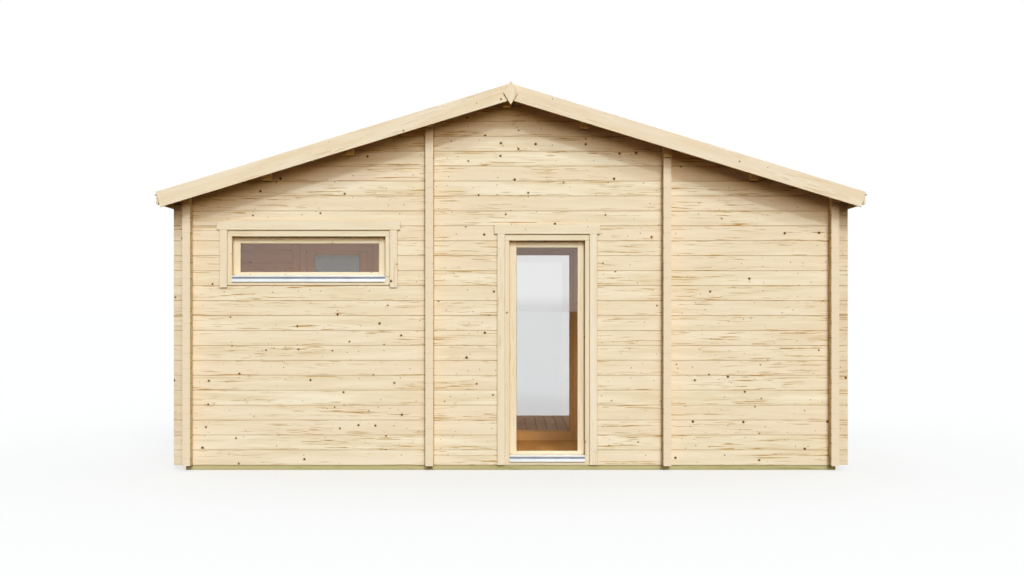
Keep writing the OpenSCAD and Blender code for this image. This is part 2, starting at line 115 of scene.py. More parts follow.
class Graph:
    """The node tree of one material or of the world."""

    def __init__(self, owner: bpy.types.ID) -> None:
        """Empties the node tree of its owner.

        Args:
            owner: The material or world whose tree is built.
        """
        owner.use_nodes = True
        self.tree = owner.node_tree
        self.tree.nodes.clear()

    def add(self, kind: str, inputs: dict | Sequence = (), out: int = 0, **settings: object) -> Socket:
        """Adds a node with its settings and links.

        Args:
            kind: The node's type, without its ShaderNode prefix.
            inputs: Values or sockets, by input name or number, or in order.
            out: The number of the output to hand back.
            **settings: Properties of the node.

        Returns:
            The chosen output, or the node's input side for an output node.
        """
        node = self.tree.nodes.new("ShaderNode" + kind)
        for key, value in settings.items():
            setattr(node, key, value)
        for key, value in inputs.items() if isinstance(inputs, dict) else enumerate(inputs):
            if isinstance(value, Socket):
                self.tree.links.new(value, node.inputs[key])
            else:
                node.inputs[key].default_value = value
        return node.outputs[out] if node.outputs else node.inputs[0]

    def math(self, operation: str, *values: Socket | float) -> Socket:
        """Does a sum on numbers."""
        return self.add("Math", values, operation=operation)

    def scale(self, vector: Socket, by: Socket | Sequence[float]) -> Socket:
        """Multiplies two vectors or colours, part by part."""
        return self.add("VectorMath", (vector, by), operation="MULTIPLY")

    def even(self, value: Socket) -> Socket:
        """Gives a vector or grey whose three parts are one value."""
        return self.add("CombineXYZ", (value, value, value))

    def split(self, vector: Socket) -> Sequence[Socket]:
        """Gives the parts of a vector."""
        return self.add("SeparateXYZ", (vector,)).node.outputs

    def mix(self, share: Socket, first: Socket | Colour, second: Socket | Colour) -> Socket:
        """Blends two colours, from the first at 0 to the second at 1."""
        return self.add("Mix", {0: share, 6: first, 7: second}, out=2, data_type="RGBA")

    def ramp(self, value: Socket, low: float, high: float, start: float | Socket = 0.0,
             end: float = 1.0) -> Socket:
        """Turns low to high into start to end, in a straight line."""
        return self.add("MapRange", (value, low, high, start, end))

    def soft_ramp(self, value: Socket, low: float, high: float, start: float = 0.0,
                  end: float = 1.0) -> Socket:
        """Turns low to high into start to end, with soft ends."""
        return self.add("MapRange", (value, low, high, start, end), interpolation_type="SMOOTHSTEP")

    def noise(self, place: Socket, scale: float, detail: float, roughness: float = 0.5) -> Socket:
        """Gives a noise about 0.5, with scale features in a metre."""
        return self.add("TexNoise", {"Vector": place, "Scale": scale, "Detail": detail,
                                     "Roughness": roughness})

    def fibrous(self, place: Socket, per_metre: Sequence[float], detail: float) -> Socket:
        """Gives a noise that is drawn out along the fibres."""
        return self.noise(self.scale(place, per_metre), 1.0, detail, 0.55)

    def surface(self, inputs: dict) -> None:
        """Ends the tree with a Principled surface."""
        self.add("OutputMaterial", (self.add("BsdfPrincipled", inputs),))


@dataclass(frozen=True)
class Finish:
    """A finish of the cabin, by the name of its material."""

    name: str

    def build(self) -> bpy.types.Material:
        """Makes the material.

        Returns:
            The finished material.
        """
        material = bpy.data.materials.new(self.name)
        self.draw(Graph(material))
        return material

    def draw(self, g: Graph) -> None:
        """Draws the finish, which each kind does in its own way."""
        raise NotImplementedError


@dataclass(frozen=True)
class Knots:
    """A scatter of round knots: cells in a metre, the share that have one, radii in cells, offset."""

    cells: float
    share: float
    sizes: tuple[float, float]
    offset: float

    def scatter(self, g: Graph, along: Socket, flat: Socket, amount: float) -> tuple[Socket, Socket, Socket]:
        """Draws the knots.

        Args:
            g: The graph to build in.
            along: The coordinate along the fibres.
            flat: The coordinate across them.
            amount: How many there are, against the usual.

        Returns:
            A mask of the hearts, one of the rims round them, and the distance to the nearest, in cells.
        """
        spots = [g.math("MULTIPLY_ADD", way, self.cells, self.offset) for way in (along, flat)]
        cell = g.add("TexVoronoi", {"Vector": g.add("CombineXYZ", spots), "Scale": 1.0},
                     voronoi_dimensions="2D").node.outputs
        luck = g.split(cell["Color"])
        there = g.math("GREATER_THAN", luck[0], 1 - self.share * amount)
        beyond = g.math("SUBTRACT", cell["Distance"], g.ramp(luck[1], 0.0, 1.0, *self.sizes))
        heart, rim = g.soft_ramp(beyond, -0.008, 0.008, 1.0, 0.0), g.soft_ramp(beyond, 0.0, 0.07, 1.0, 0.0)
        away = g.math("ADD", cell["Distance"], g.math("SUBTRACT", 1.0, there))
        return g.math("MULTIPLY", heart, there), g.math("MULTIPLY", rim, there), away


# Sound knots 8 to 21 mm across with a brown rim, and many pin knots of 5 to 10 mm
SOUND_KNOTS = Knots(6.6, 0.15, (0.026, 0.07), 0.0)
PIN_KNOTS = Knots(9.0, 0.42, (0.022, 0.046), 7.3)
# How many features fit in a metre along, across and through a board
GROWTH, GROWTH_ZONES = (0.85, 12.0, 12.0), (1.1, 7.0, 7.0)
RESIN, RESIN_ZONES, RESIN_MOVED = (4.0, 130.0, 130.0), (0.8, 9.0, 9.0), (3.7, 1.9, 0.4)
FIBRES, DRIFT = (5.0, 320.0, 320.0), (1.3, 16.0, 16.0)


@dataclass(frozen=True)
class Pine(Finish):
    """Softwood, sawn and planed, with its growth lines, resin streaks, knots and end grain.

    light and warm are the two tones that drift through a board, pink is the tone that some boards
    lean to, streak is the late wood that shows as thin ochre lines, and knot is a knot's heart.
    pitch and first say where one log ends and the next begins, across the grain. shade is what
    light keeps when it has been thrown from board to board, which makes the nooks a warm brown,
    and nook is painted shade: the share of the colour kept in the last 2 cm of a corner between
    boards. corner is how far from the middle the log ends past the corners begin, which are a
    shade darker.
    """

    grain: Grain = Grain.OWN
    light: str = "F5E6CC"
    warm: str = "E6D1AE"
    pink: str = "ECD5B8"
    streak: str = "B98F44"
    knot: str = "3C1C02"
    end: str = "EEDABF"
    pitch: float = 0.0
    first: float = 0.0
    streaks: float = 1.0
    knots: float = 1.0
    tone: float = 0.62
    roughness: float = 0.62
    gloss: float = 0.35
    corner: float = 0.0
    shade: tuple[float, float, float] = (0.86, 0.68, 0.14)
    nook: tuple[float, float, float] = (0.5, 0.4, 0.28)

    def axes(self, g: Graph) -> tuple[Socket, Socket, Socket, Socket, Socket, Socket | float]:
        """Finds the coordinates along and across the fibres, in metres.

        Args:
            g: The graph to build in.

        Returns:
            Along, across and depth coordinates, a random tone for the board, 1 on a cut end, and
            how near a log's joint is, from 0 in the middle of a log to 1 at the joint.
        """
        if self.grain is Grain.OWN:
            parts = g.split(g.add("Attribute", out=1, attribute_name="grain"))
            tone, cut = (g.add("Attribute", out=2, attribute_name=name) for name in ("tone", "cut"))
            return parts[0], parts[1], parts[2], tone, cut, 0.0
        parts, facing = (g.split(g.add("TexCoord", out=out)) for out in (3, 1))
        along, across, depth = self.grain.value
        cut = g.math("GREATER_THAN", g.math("ABSOLUTE", facing[along]), 0.8)
        edge = 0.0
        if not self.pitch:
            beside = parts[1] if self.grain is Grain.ALONG_X else parts[0]
            number = g.math("ROUND", g.math("MULTIPLY", beside, 1.7))
        else:
            steps = g.math("MULTIPLY_ADD", parts[2], 1 / self.pitch, -self.first / self.pitch)
            number = g.math("FLOOR", steps)
            edge = g.math("ABSOLUTE", g.math("MULTIPLY_ADD", g.math("FRACT", steps), 2.0, -1.0))
        chance = g.add("TexWhiteNoise", {"W": number}, noise_dimensions="1D")
        moved = g.math("MULTIPLY_ADD", chance, 31.0, parts[along])
        lifted = g.math("MULTIPLY_ADD", number, 0.37, parts[across])
        return moved, lifted, parts[depth], chance, cut, edge

    def draw(self, g: Graph) -> None:
        """Draws the timber from its growth to its planed face.

        Args:
            g: The graph to build in.
        """
        along, across, depth, tone, cut, edge = self.axes(g)
        place = g.add("CombineXYZ", (along, across, depth))
        flat = g.math("ADD", across, depth)
        heart, rim, away = SOUND_KNOTS.scatter(g, along, flat, self.knots)
        pins, _, _ = PIN_KNOTS.scatter(g, along, flat, self.knots)

        # Growth lines: nested lens shapes about 40 cm long, thickest by the joints, bent round knots
        level = g.math("ADD", g.fibrous(place, GROWTH, 1.5), g.soft_ramp(away, 0.0, 0.5, 0.16, 0.0))
        level = g.math("FRACT", g.math("MULTIPLY", level, 9.0))
        from_line = g.math("ABSOLUTE", g.math("SUBTRACT", level, 0.5))
        where = g.math("MULTIPLY_ADD", edge, 0.07, g.fibrous(place, GROWTH_ZONES, 2.0))
        line = g.math("MULTIPLY", g.soft_ramp(from_line, 0.02, 0.1, 1.0, 0.0), g.soft_ramp(where, 0.55, 0.66))

        # Resin and late wood: thin ochre flashes, 15 to 40 cm long and 5 to 10 mm high
        flash = g.soft_ramp(g.fibrous(place, RESIN, 1.5), 0.6, 0.65)
        near = g.fibrous(g.add("VectorMath", (place, RESIN_MOVED), operation="ADD"), RESIN_ZONES, 1.0)
        near = g.soft_ramp(g.math("MULTIPLY_ADD", edge, 0.1, near), 0.5, 0.62)
        flash = g.math("MULTIPLY", flash, near)

        # Fibre: the fine lines that planing leaves, drawn about 3 mm wide so that they still show
        fibre = g.fibrous(place, FIBRES, 3.0)
        drift = g.ramp(g.fibrous(place, DRIFT, 3.0), 0.36, 0.66)
        colour = g.mix(drift, linear(self.light), linear(self.warm))
        colour = g.mix(g.math("MULTIPLY", tone, self.tone), colour, linear(self.pink))
        colour = g.scale(colour, g.even(g.ramp(fibre, 0.3, 0.7, 0.95, 1.03)))
        for mask, share, over in (
                (line, 0.32 * self.streaks, self.streak), (flash, self.streaks, self.streak),
                (rim, 0.45, self.streak), (pins, 0.8, self.knot), (heart, 0.95, self.knot)):
            colour = g.mix(g.math("MULTIPLY", mask, share), colour, linear(over))

        # Cut end: yearly rings 5 mm apart in the end colour; on purlins and eave plates that colour is
        # painted paler, a painted highlight for light reaching their ends
        rings = g.add("TexWave", {"Vector": g.add("CombineXYZ", (across, depth, 0.0)), "Scale": 62.0,
                                  "Distortion": 2.0, "Detail": 2.0}, wave_type="RINGS", rings_direction="Z")
        end = g.mix(g.math("MULTIPLY", rings, 0.16), linear(self.end), linear(self.streak))
        colour = g.mix(cut, colour, end)
        if self.pitch:
            # The joint between two logs: a line 5 mm high in the bevels, fainter on clear wood and on ends
            joint = g.soft_ramp(edge, 1 - 0.008 / self.pitch, 1 - 0.002 / self.pitch, 0.0, 0.62)
            for fainter in (g.ramp(where, 0.5, 0.66, 0.45, 1.0), g.ramp(cut, 0.0, 1.0, 1.0, 0.5)):
                joint = g.math("MULTIPLY", joint, fainter)
            colour = g.mix(joint, colour, linear(self.streak))
        if self.corner:
            out = g.math("ABSOLUTE", g.split(g.add("TexCoord", out=3))[0])
            colour = g.scale(colour, g.even(g.ramp(out, self.corner, self.corner + 0.001, 1.0, 0.88)))
        # Nooks: painted shade, an occlusion test darkens the colour in the last 2 cm of the corners between
        # boards
        open_air = g.add("AmbientOcclusion", {"Distance": 0.03}, out=1, samples=6)
        open_air = g.ramp(open_air, 0.35, 0.62)
        colour = g.scale(colour, g.add("CombineXYZ", [g.ramp(open_air, 0.0, 1.0, n, 1.0) for n in self.nook]))
        colour = g.mix(g.add("LightPath", out=2), colour, g.scale(colour, self.shade))

        rough = g.ramp(fibre, 0.3, 0.7, self.roughness - 0.06, self.roughness + 0.08)
        height = g.math("ADD", fibre, g.math("MULTIPLY", heart, 0.8))
        bump = g.add("Bump", {"Strength": 0.35, "Distance": 0.0004, "Height": height})
        g.surface({"Base Color": colour, "Roughness": rough, "Normal": bump,
                   "Specular IOR Level": self.gloss})


@dataclass(frozen=True)
class Felt(Finish):
    """Bitumen roofing felt with crushed slate rolled into it, which gives a dull, speckled grey."""

    name: str = "slate_faced_roofing_felt"
    ground: str = "4B4D4E"
    grit: str = "6C6F70"
    dark: str = "36383A"

    def draw(self, g: Graph) -> None:
        """Draws slate grit of 1 to 2 mm, at 4 mm so that it still shows, on washed-out bitumen.

        Args:
            g: The graph to build in.
        """
        place = g.add("TexCoord", out=3)
        chance = g.split(g.add("TexVoronoi", {"Vector": place, "Scale": 250.0}).node.outputs["Color"])[0]
        tone = g.ramp(g.noise(place, 1.6, 5.0, 0.6), 0.35, 0.68, 0.0, 0.55)
        colour = g.mix(tone, linear(self.ground), linear(self.dark))
        colour = g.mix(g.ramp(chance, 0.55, 1.0, 0.0, 0.8), colour, linear(self.grit))
        height = g.math("MULTIPLY_ADD", g.noise(place, 5.0, 2.0), 6.0, g.math("MULTIPLY", chance, 0.4))
        bump = g.add("Bump", {"Strength": 0.5, "Distance": 0.001, "Height": height})
        g.surface({"Base Color": colour, "Roughness": 0.94, "Normal": bump})


@dataclass(frozen=True)
class Glazing(Finish):
    """Float glass, clear or tinted through, with both faces fire-polished, so it mirrors sharply."""

    body: str
    shade: str

    def draw(self, g: Graph) -> None:
        """Draws the glass, which lamps pass through, so that the rooms behind it are lit.

        Args:
            g: The graph to build in.
        """
        glass = g.add("BsdfPrincipled", {"Base Color": linear(self.body), "Roughness": 0.0, "IOR": 1.5,
                                         "Transmission Weight": 1.0})
        # Lamps pass through in the shade colour; where that is warmer than the glass, it paints warm light
        # into the rooms
        clear = g.add("BsdfTransparent", (linear(self.shade),))
        g.add("OutputMaterial", (g.add("MixShader", (g.add("LightPath", out=1), glass, clear)),))


@dataclass(frozen=True)
class Metal(Finish):
    """A metal part, bare or coated, with the fine lines or the orange peel of its finish.

    metallic is 0 on a coat. lines is how many marks fit in a metre each way, and depth is theirs.
    """

    colour: str
    worn: str
    metallic: float
    roughness: float
    lines: tuple[float, float, float] = (40.0, 40.0, 40.0)
    depth: float = 0.00005

    def draw(self, g: Graph) -> None:
        """Draws the marks of the finish and a patchy film over it.

        Args:
            g: The graph to build in.
        """
        place = g.add("TexCoord", out=3)
        marks = g.noise(g.scale(place, self.lines), 1.0, 3.0)
        film = g.ramp(g.noise(place, 9.0, 3.0), 0.42, 0.7, 0.0, 0.6)
        rough = g.ramp(marks, 0.3, 0.7, self.roughness - 0.05, self.roughness + 0.07)
        bump = g.add("Bump", {"Strength": 0.4, "Distance": self.depth, "Height": marks})
        g.surface({"Base Color": g.mix(film, linear(self.colour), linear(self.worn)),
                   "Metallic": self.metallic, "Roughness": rough, "Normal": bump})


# Machined spruce logs, planed: pale, with a joint each course, half a course higher on the side walls
COURSE, WALL_FOOT, WALL_FACE = 0.135, 0.045, 2.945
GABLE_LOG = Pine("planed_spruce_log_gable", Grain.ALONG_X, pitch=COURSE, first=WALL_FOOT, corner=WALL_FACE)
SIDE_LOG = Pine("planed_spruce_log_side", Grain.ALONG_Y, pitch=COURSE, first=WALL_FOOT + COURSE / 2)
# Planed joinery pine: slow grown and nearly clear, so it is paler and calmer than the logs
JOINERY = Pine("planed_joinery_pine", light="EFE0C4", warm="E6D2B0", pink="EBD6B8",
               streaks=0.45, knots=0.35, tone=0.6)
# Planed trim board, painted a little lighter all over than the joinery pine: a painted highlight for the
# light it catches
TRIM = Pine("planed_trim_pine", light="F0E0C7", warm="E9D5B5", pink="ECD7BA",
            streaks=0.5, knots=0.4, tone=0.6)
# Planed barge board: wide boards with the odd large knot
BARGE = Pine("planed_barge_pine", light="F0DEC5", warm="E8D1B0", pink="EDD6BB",
             streaks=0.55, knots=0.45, tone=0.5)
# Planed tongued and grooved roof board
ROOF_BOARD = Pine("planed_roof_board_spruce", light="F1DFBF", warm="E3CBA2", streaks=0.9)
# Planed floor board, the same timber underfoot
FLOOR_BOARD = Pine("planed_floor_board_spruce", gloss=0.1, light="EDD09C", warm="E0BC84", pink="E4C290",
                   streaks=0.8, knots=0.9)
# Oiled larch deck board: redder and darker than the spruce
DECK_BOARD = Pine("oiled_larch_deck_board", gloss=0.1, light="D0A673", warm="BB8D5B", pink="C5966A",
                  streak="8A5C2E", knot="4A2C16", end="B48A5C", knots=0.8, tone=0.8)
# Posts, eave plates and purlins of planed spruce
POST = Pine("planed_spruce_post", Grain.ALONG_Z, light="F3E2C4", warm="E7D0AA", streaks=0.8, knots=0.8)
# Their cut ends are painted pale: a painted highlight for light reaching them under the eaves
PURLIN = Pine("planed_spruce_purlin", Grain.ALONG_Y, light="EFDCBB", warm="E0C69C", end="F4DDB4")
# Pressure-impregnated foundation timber: the copper salts turn the pine a dull green
TREATED_X, TREATED_Y = (
    Pine(name, grain, light="C6BC8A", warm="B3A874", pink="BDB07E", streak="8C8450", knot="5C5030",
         end="B8AC7A", roughness=0.75)
    for name, grain in (("impregnated_pine_cross_beam", Grain.ALONG_X),
                        ("impregnated_pine_long_beam", Grain.ALONG_Y)))
FELT = Felt()
# Float glass: clear, and the same glass tinted grey-bronze in its body
# The second colour is what lamp light keeps at each face; on the clear glass it is warm and dim, painted warm
# light for the rooms
CLEAR_GLASS = Glazing("clear_float_glass", "FAFAFA", "EADAC4")
TINTED_GLASS = Glazing("bronze_tinted_float_glass", "A09C96", "C0BCB6")
# Spacer bar: mill-finished aluminium between the two sheets of a glazing unit
SPACER = Metal("mill_finish_aluminium_spacer", "A9ACAE", "8E9193", 1.0, 0.42)
# Extruded aluminium with a white polyester powder coat: smooth, with a slight orange peel
DRIP = Metal("powder_coated_aluminium_drip", "F4F4F6", "E9EAEE", 0.0, 0.34, depth=0.00002)
# Brushed stainless steel: long fine lines from the belt
STEEL = Metal("brushed_stainless_steel", "C4C4C2", "A9A9A7", 1.0, 0.3, lines=(60.0, 900.0, 900.0))
# Zinc-plated steel: a cool, slightly patchy sheen
ZINC = Metal("zinc_plated_steel", "B9BCC0", "93979C", 1.0, 0.38)
# Grey rubber seal in the drip profile's channel: dull grey, partly the seal's own colour and partly painted
# shade, so that the channel reads as a dark line
SEAL_AND_PAINTED_SHADE = Metal("grey_rubber_weather_seal", "9DA0A8", "8A8D95", 0.0, 0.7)


class Palette:
    """Every finish on the cabin, each made once."""

    def __init__(self) -> None:
        """Starts with nothing made."""
        self.made: dict[str, bpy.types.Material] = {}

    def get(self, finish: Finish) -> bpy.types.Material:
        """Gives the material of a finish, and makes it the first time.

        Args:
            finish: The finish wanted.

        Returns:
            Its material.
        """
        if finish.name not in self.made:
            self.made[finish.name] = finish.build()
        return self.made[finish.name]


# ---------------------------------------------------------------------------- the bench


class Bench:
    """Starts blanks and shapes them with Blender's own modelling operators."""

    def __init__(self, palette: Palette) -> None:
        """Keeps the palette, and seeds the chance that tells one board from the next.

        Args:
            palette: The finishes.
        """
        self.palette = palette
        self.chance = random.Random(11)

    @staticmethod
    def clear() -> None:
        """Leaves nothing selected, in object mode."""
        if bpy.context.object and bpy.context.object.mode != "OBJECT":
            bpy.ops.object.mode_set(mode="OBJECT")
        bpy.ops.object.select_all(action="DESELECT")

    def only(self, piece: Piece) -> None:
        """Selects one piece and makes it the active one.

        Args:
            piece: The piece.
        """
        self.clear()
        piece.select_set(True)
        bpy.context.view_layer.objects.active = piece

    @contextmanager
    def editing(self, piece: Piece, kind: str = "", test: Test | None = None) -> Iterator[None]:
        """Holds a piece in edit mode with all of it selected, or only what passes a test.

        Args:
            piece: The piece to edit.
            kind: FACE or EDGE, where there is a test.
            test: True for the middles of the faces or edges wanted.

        Yields:
            Nothing. Operators act on the selection meanwhile.
        """
        self.only(piece)
        mesh = piece.data
        if test:
            for part in (*mesh.vertices, *mesh.edges, *mesh.polygons):
                part.select = False
            for face in mesh.polygons if kind == "FACE" else ():
                face.select = test(face.center)
            for edge in mesh.edges if kind == "EDGE" else ():
                a, b = (mesh.vertices[i].co for i in edge.vertices)
                edge.select = test((a + b) / 2)
        bpy.ops.object.mode_set(mode="EDIT")
        if test:
            bpy.ops.mesh.select_mode(type=kind)
        else:
            bpy.ops.mesh.select_all(action="SELECT")
        yield
        bpy.ops.object.mode_set(mode="OBJECT")

    def settle(self) -> Piece:
        """Moves the new primitive's place, turn and size into its mesh.

        Returns:
            The primitive.
        """
        piece = bpy.context.object
        self.only(piece)
        bpy.ops.object.transform_apply(location=True, rotation=True, scale=True)
        return piece

    def blank(self, low: Corner, high: Corner, arris: float = 0.002, segments: int = 1) -> Piece:
        """A squared blank between two corners, with its edges eased.

        Args:
            low: One corner.
            high: The corner across from it.
            arris: Width of the eased edges.
            segments: Steps in each eased edge.

        Returns:
            The blank.
        """
        low, high = Vector(map(min, low, high)), Vector(map(max, low, high))
        self.clear()
        bpy.ops.mesh.primitive_cube_add(size=1, location=(low + high) / 2, scale=high - low)
        piece = self.settle()
        if arris:
            with self.editing(piece):
                bpy.ops.mesh.bevel(offset=arris, segments=segments, affect="EDGES")
        return piece

    def rod(self, centre: Corner, radius: float, length: float, axis: Grain = Grain.ALONG_Z,
            sides: int = 20, arris: float = 0.0) -> Piece:
        """A round bar with eased ends.

        Args:
            centre: Its middle.
            radius: Its radius.
            length: Its length.
            axis: The way it points, Y or Z.
            sides: Sides of its round.
            arris: Width of the eased ends.

        Returns:
            The bar.
        """
        turn = (math.pi / 2, 0, 0) if axis is Grain.ALONG_Y else (0, 0, 0)
        self.clear()
        bpy.ops.mesh.primitive_cylinder_add(vertices=sides, radius=radius, depth=length,
                                            location=centre, rotation=turn)
        piece = self.settle()
        if arris:
            way, middle = axis.value[0], Vector(centre)
            with self.editing(piece, "FACE", lambda p: abs(abs(p[way] - middle[way]) - length / 2) < 1e-5):
                bpy.ops.mesh.bevel(offset=arris, segments=2, affect="EDGES")
        return piece

    def ease(self, piece: Piece, test: Test, width: float) -> None:
        """Bevels the edges whose middles pass a test, to a width."""
        with self.editing(piece, "EDGE", test):
            bpy.ops.mesh.bevel(offset=width, segments=1, affect="EDGES")

    def trim_at(self, piece: Piece, point: Corner, normal: Corner) -> None:
        """Saws a piece off along a plane and closes the cut. What the normal points at is waste."""
        with self.editing(piece):
            bpy.ops.mesh.bisect(plane_co=point, plane_no=normal, use_fill=True, clear_outer=True)

    def cut(self, piece: Piece, boxes: Iterable[tuple[Corner, Corner]]) -> Piece:
        """Cuts boxes out of a piece.

        Args:
            piece: The piece.
            boxes: Two corners of each box that is cut away.

        Returns:
            The same piece.
        """
        for low, high in boxes:
            tool = self.blank(low, high, 0.0)
            self.only(piece)
            saw = piece.modifiers.new("saw", "BOOLEAN")
            saw.operation, saw.object, saw.solver = "DIFFERENCE", tool, "EXACT"
            bpy.ops.object.modifier_apply(modifier=saw.name)
            bpy.data.objects.remove(tool)
        return piece

    @staticmethod
    def move(piece: Piece, by: Corner) -> None:
        """Moves a piece's mesh."""
        piece.data.transform(Matrix.Translation(Vector(by)))

    @staticmethod
    def tilt(piece: Piece, degrees: float, x: float = 0.0) -> None:
        """Leans a piece down towards +X, about the line along Y at x and height 0."""
        pivot = Matrix.Translation(Vector((x, 0, 0)))
        piece.data.transform(pivot @ Matrix.Rotation(math.radians(degrees), 4, "Y") @ pivot.inverted())

    def mirror(self, piece: Piece) -> None:
        """Mirrors a piece across the cabin's middle plane and turns its faces outwards again.

        Args:
            piece: The piece.
        """
        piece.data.transform(Matrix.Diagonal((-1, 1, 1, 1)))
        with self.editing(piece):
            bpy.ops.mesh.remove_doubles(threshold=0.00001)
            bpy.ops.mesh.normals_make_consistent(inside=False)

    def spread(self, pattern: Piece, places: Iterable[Corner]) -> list[Piece]:
        """Copies a pattern to each place, each copy with its own mesh, and throws the pattern away.

        Args:
            pattern: The pattern.
            places: How far each copy is moved.

        Returns:
            The copies.
        """
        copies = []
        for place in places:
            copies.append(pattern.copy())
            copies[-1].data = pattern.data.copy()
            self.move(copies[-1], place)
            bpy.context.scene.collection.objects.link(copies[-1])
        bpy.data.objects.remove(pattern)
        return copies

    def grain(self, piece: Piece, fibres: Corner, finish: Pine) -> Piece:
        """Writes where each point lies in the board that it was sawn from, and gives it its timber.

        Args:
            piece: One board.
            fibres: The way its fibres run.
            finish: Its timber.

        Returns:
            The same piece.
        """
        along = Vector(fibres).normalized()
        helper = Vector(UPRIGHT) if abs(along.z) < 0.7 else Vector(ACROSS)
        depth = along.cross(helper).normalized()
        across = depth.cross(along)
        start = [self.chance.uniform(0, 40) for _ in range(3)]
        tone = self.chance.random()
        mesh = piece.data
        spots = [corner.co.dot(way) + move for corner in mesh.vertices
                 for way, move in zip((along, across, depth), start)]
        ends = [float(abs(face.normal.dot(along)) > 0.9) for face in mesh.polygons]
        layers = (("grain", "FLOAT_VECTOR", "POINT", "vector", spots),
                  ("tone", "FLOAT", "POINT", "value", [tone] * len(mesh.vertices)),
                  ("cut", "FLOAT", "FACE", "value", ends))
        for name, kind, domain, key, values in layers:
            mesh.attributes.new(name, kind, domain).data.foreach_set(key, values)
        return self.paint(piece, finish)

    def paint(self, piece: Piece, finish: Finish) -> Piece:
        """Gives a piece one finish.

        Args:
            piece: The piece.
            finish: The finish.

        Returns:
            The same piece.
        """
        piece.data.materials.clear()
        piece.data.materials.append(self.palette.get(finish))
        return piece

    def join(self, name: str, parts: Sequence[Piece]) -> Piece:
        """Joins parts into one named piece at the origin.

        Args:
            name: The piece's name.
            parts: Its parts.

        Returns:
            The piece.
        """
        self.clear()
        for part in parts:
            part.select_set(True)
        bpy.context.view_layer.objects.active = parts[0]
        if len(parts) > 1:
            bpy.ops.object.join()
        piece = bpy.context.object
        piece.name = piece.data.name = name
        return piece

    def fit(self, piece: Piece, slot: str, *nodes: str, body: str = "building",
            finish: Finish | None = None, smooth: bool = False) -> None:
        """Hands a finished piece to its body.

        Args:
            piece: The piece.
            slot: The record's material slot; not used.
            *nodes: The CAD nodes that it stands for.
            body: The body that it moves with.
            finish: Its finish, where its parts have none yet.
            smooth: Whether it is shaded smooth, up to 35 degrees.
        """
        if finish:
            self.paint(piece, finish)
        if smooth:
            self.only(piece)
            bpy.ops.object.shade_smooth_by_angle(angle=math.radians(35))
        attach(piece, body)
        if nodes:
            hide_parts(*nodes)
        log.info("%s: %d faces, for %s", piece.name, len(piece.data.polygons), ", ".join(nodes) or "itself")


# ---------------------------------------------------------------------------- the cabin


@dataclass(frozen=True)
class Plan:
    """The cabin's main lines: the outer faces of two walls along Y, the walls' foot and the slope."""

    rear: float
    front: float
    base: float
    slope: float = 17.0

    @staticmethod
    def read() -> "Plan":
        """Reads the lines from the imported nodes."""
        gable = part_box("rear_gable_wall")
        return Plan(rear=gable[0].y, front=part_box("front_wall_piers")[1].y, base=gable[0].z)

    @property
    def lean(self) -> float:
        """The slope in radians."""
        return math.radians(self.slope)


@dataclass
class LogWork:
    """The log walls, posts, beams and purlins, and the timber that they stand on."""

    palette: Palette

    def dress(self, nodes: dict[str, Piece]) -> None:
        """Gives each node its timber.

        Args:
            nodes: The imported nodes, by name.
        """
        timber = {
            GABLE_LOG: "rear_gable_wall front_wall_piers front_wall_gable terrace_gable",
            SIDE_LOG: "left_side_wall right_side_wall left_partition right_partition terrace_side_beams",
            POST: "terrace_posts", PURLIN: "purlins eave_plates",
            TREATED_X: "foundation_cross_beams joists", TREATED_Y: "foundation_long_beams"}
        for finish, names in timber.items():
            for name in names.split():
                for slot in nodes[name].material_slots:
                    slot.material = self.palette.get(finish)
                log.info("%s: %s", name, finish.name)


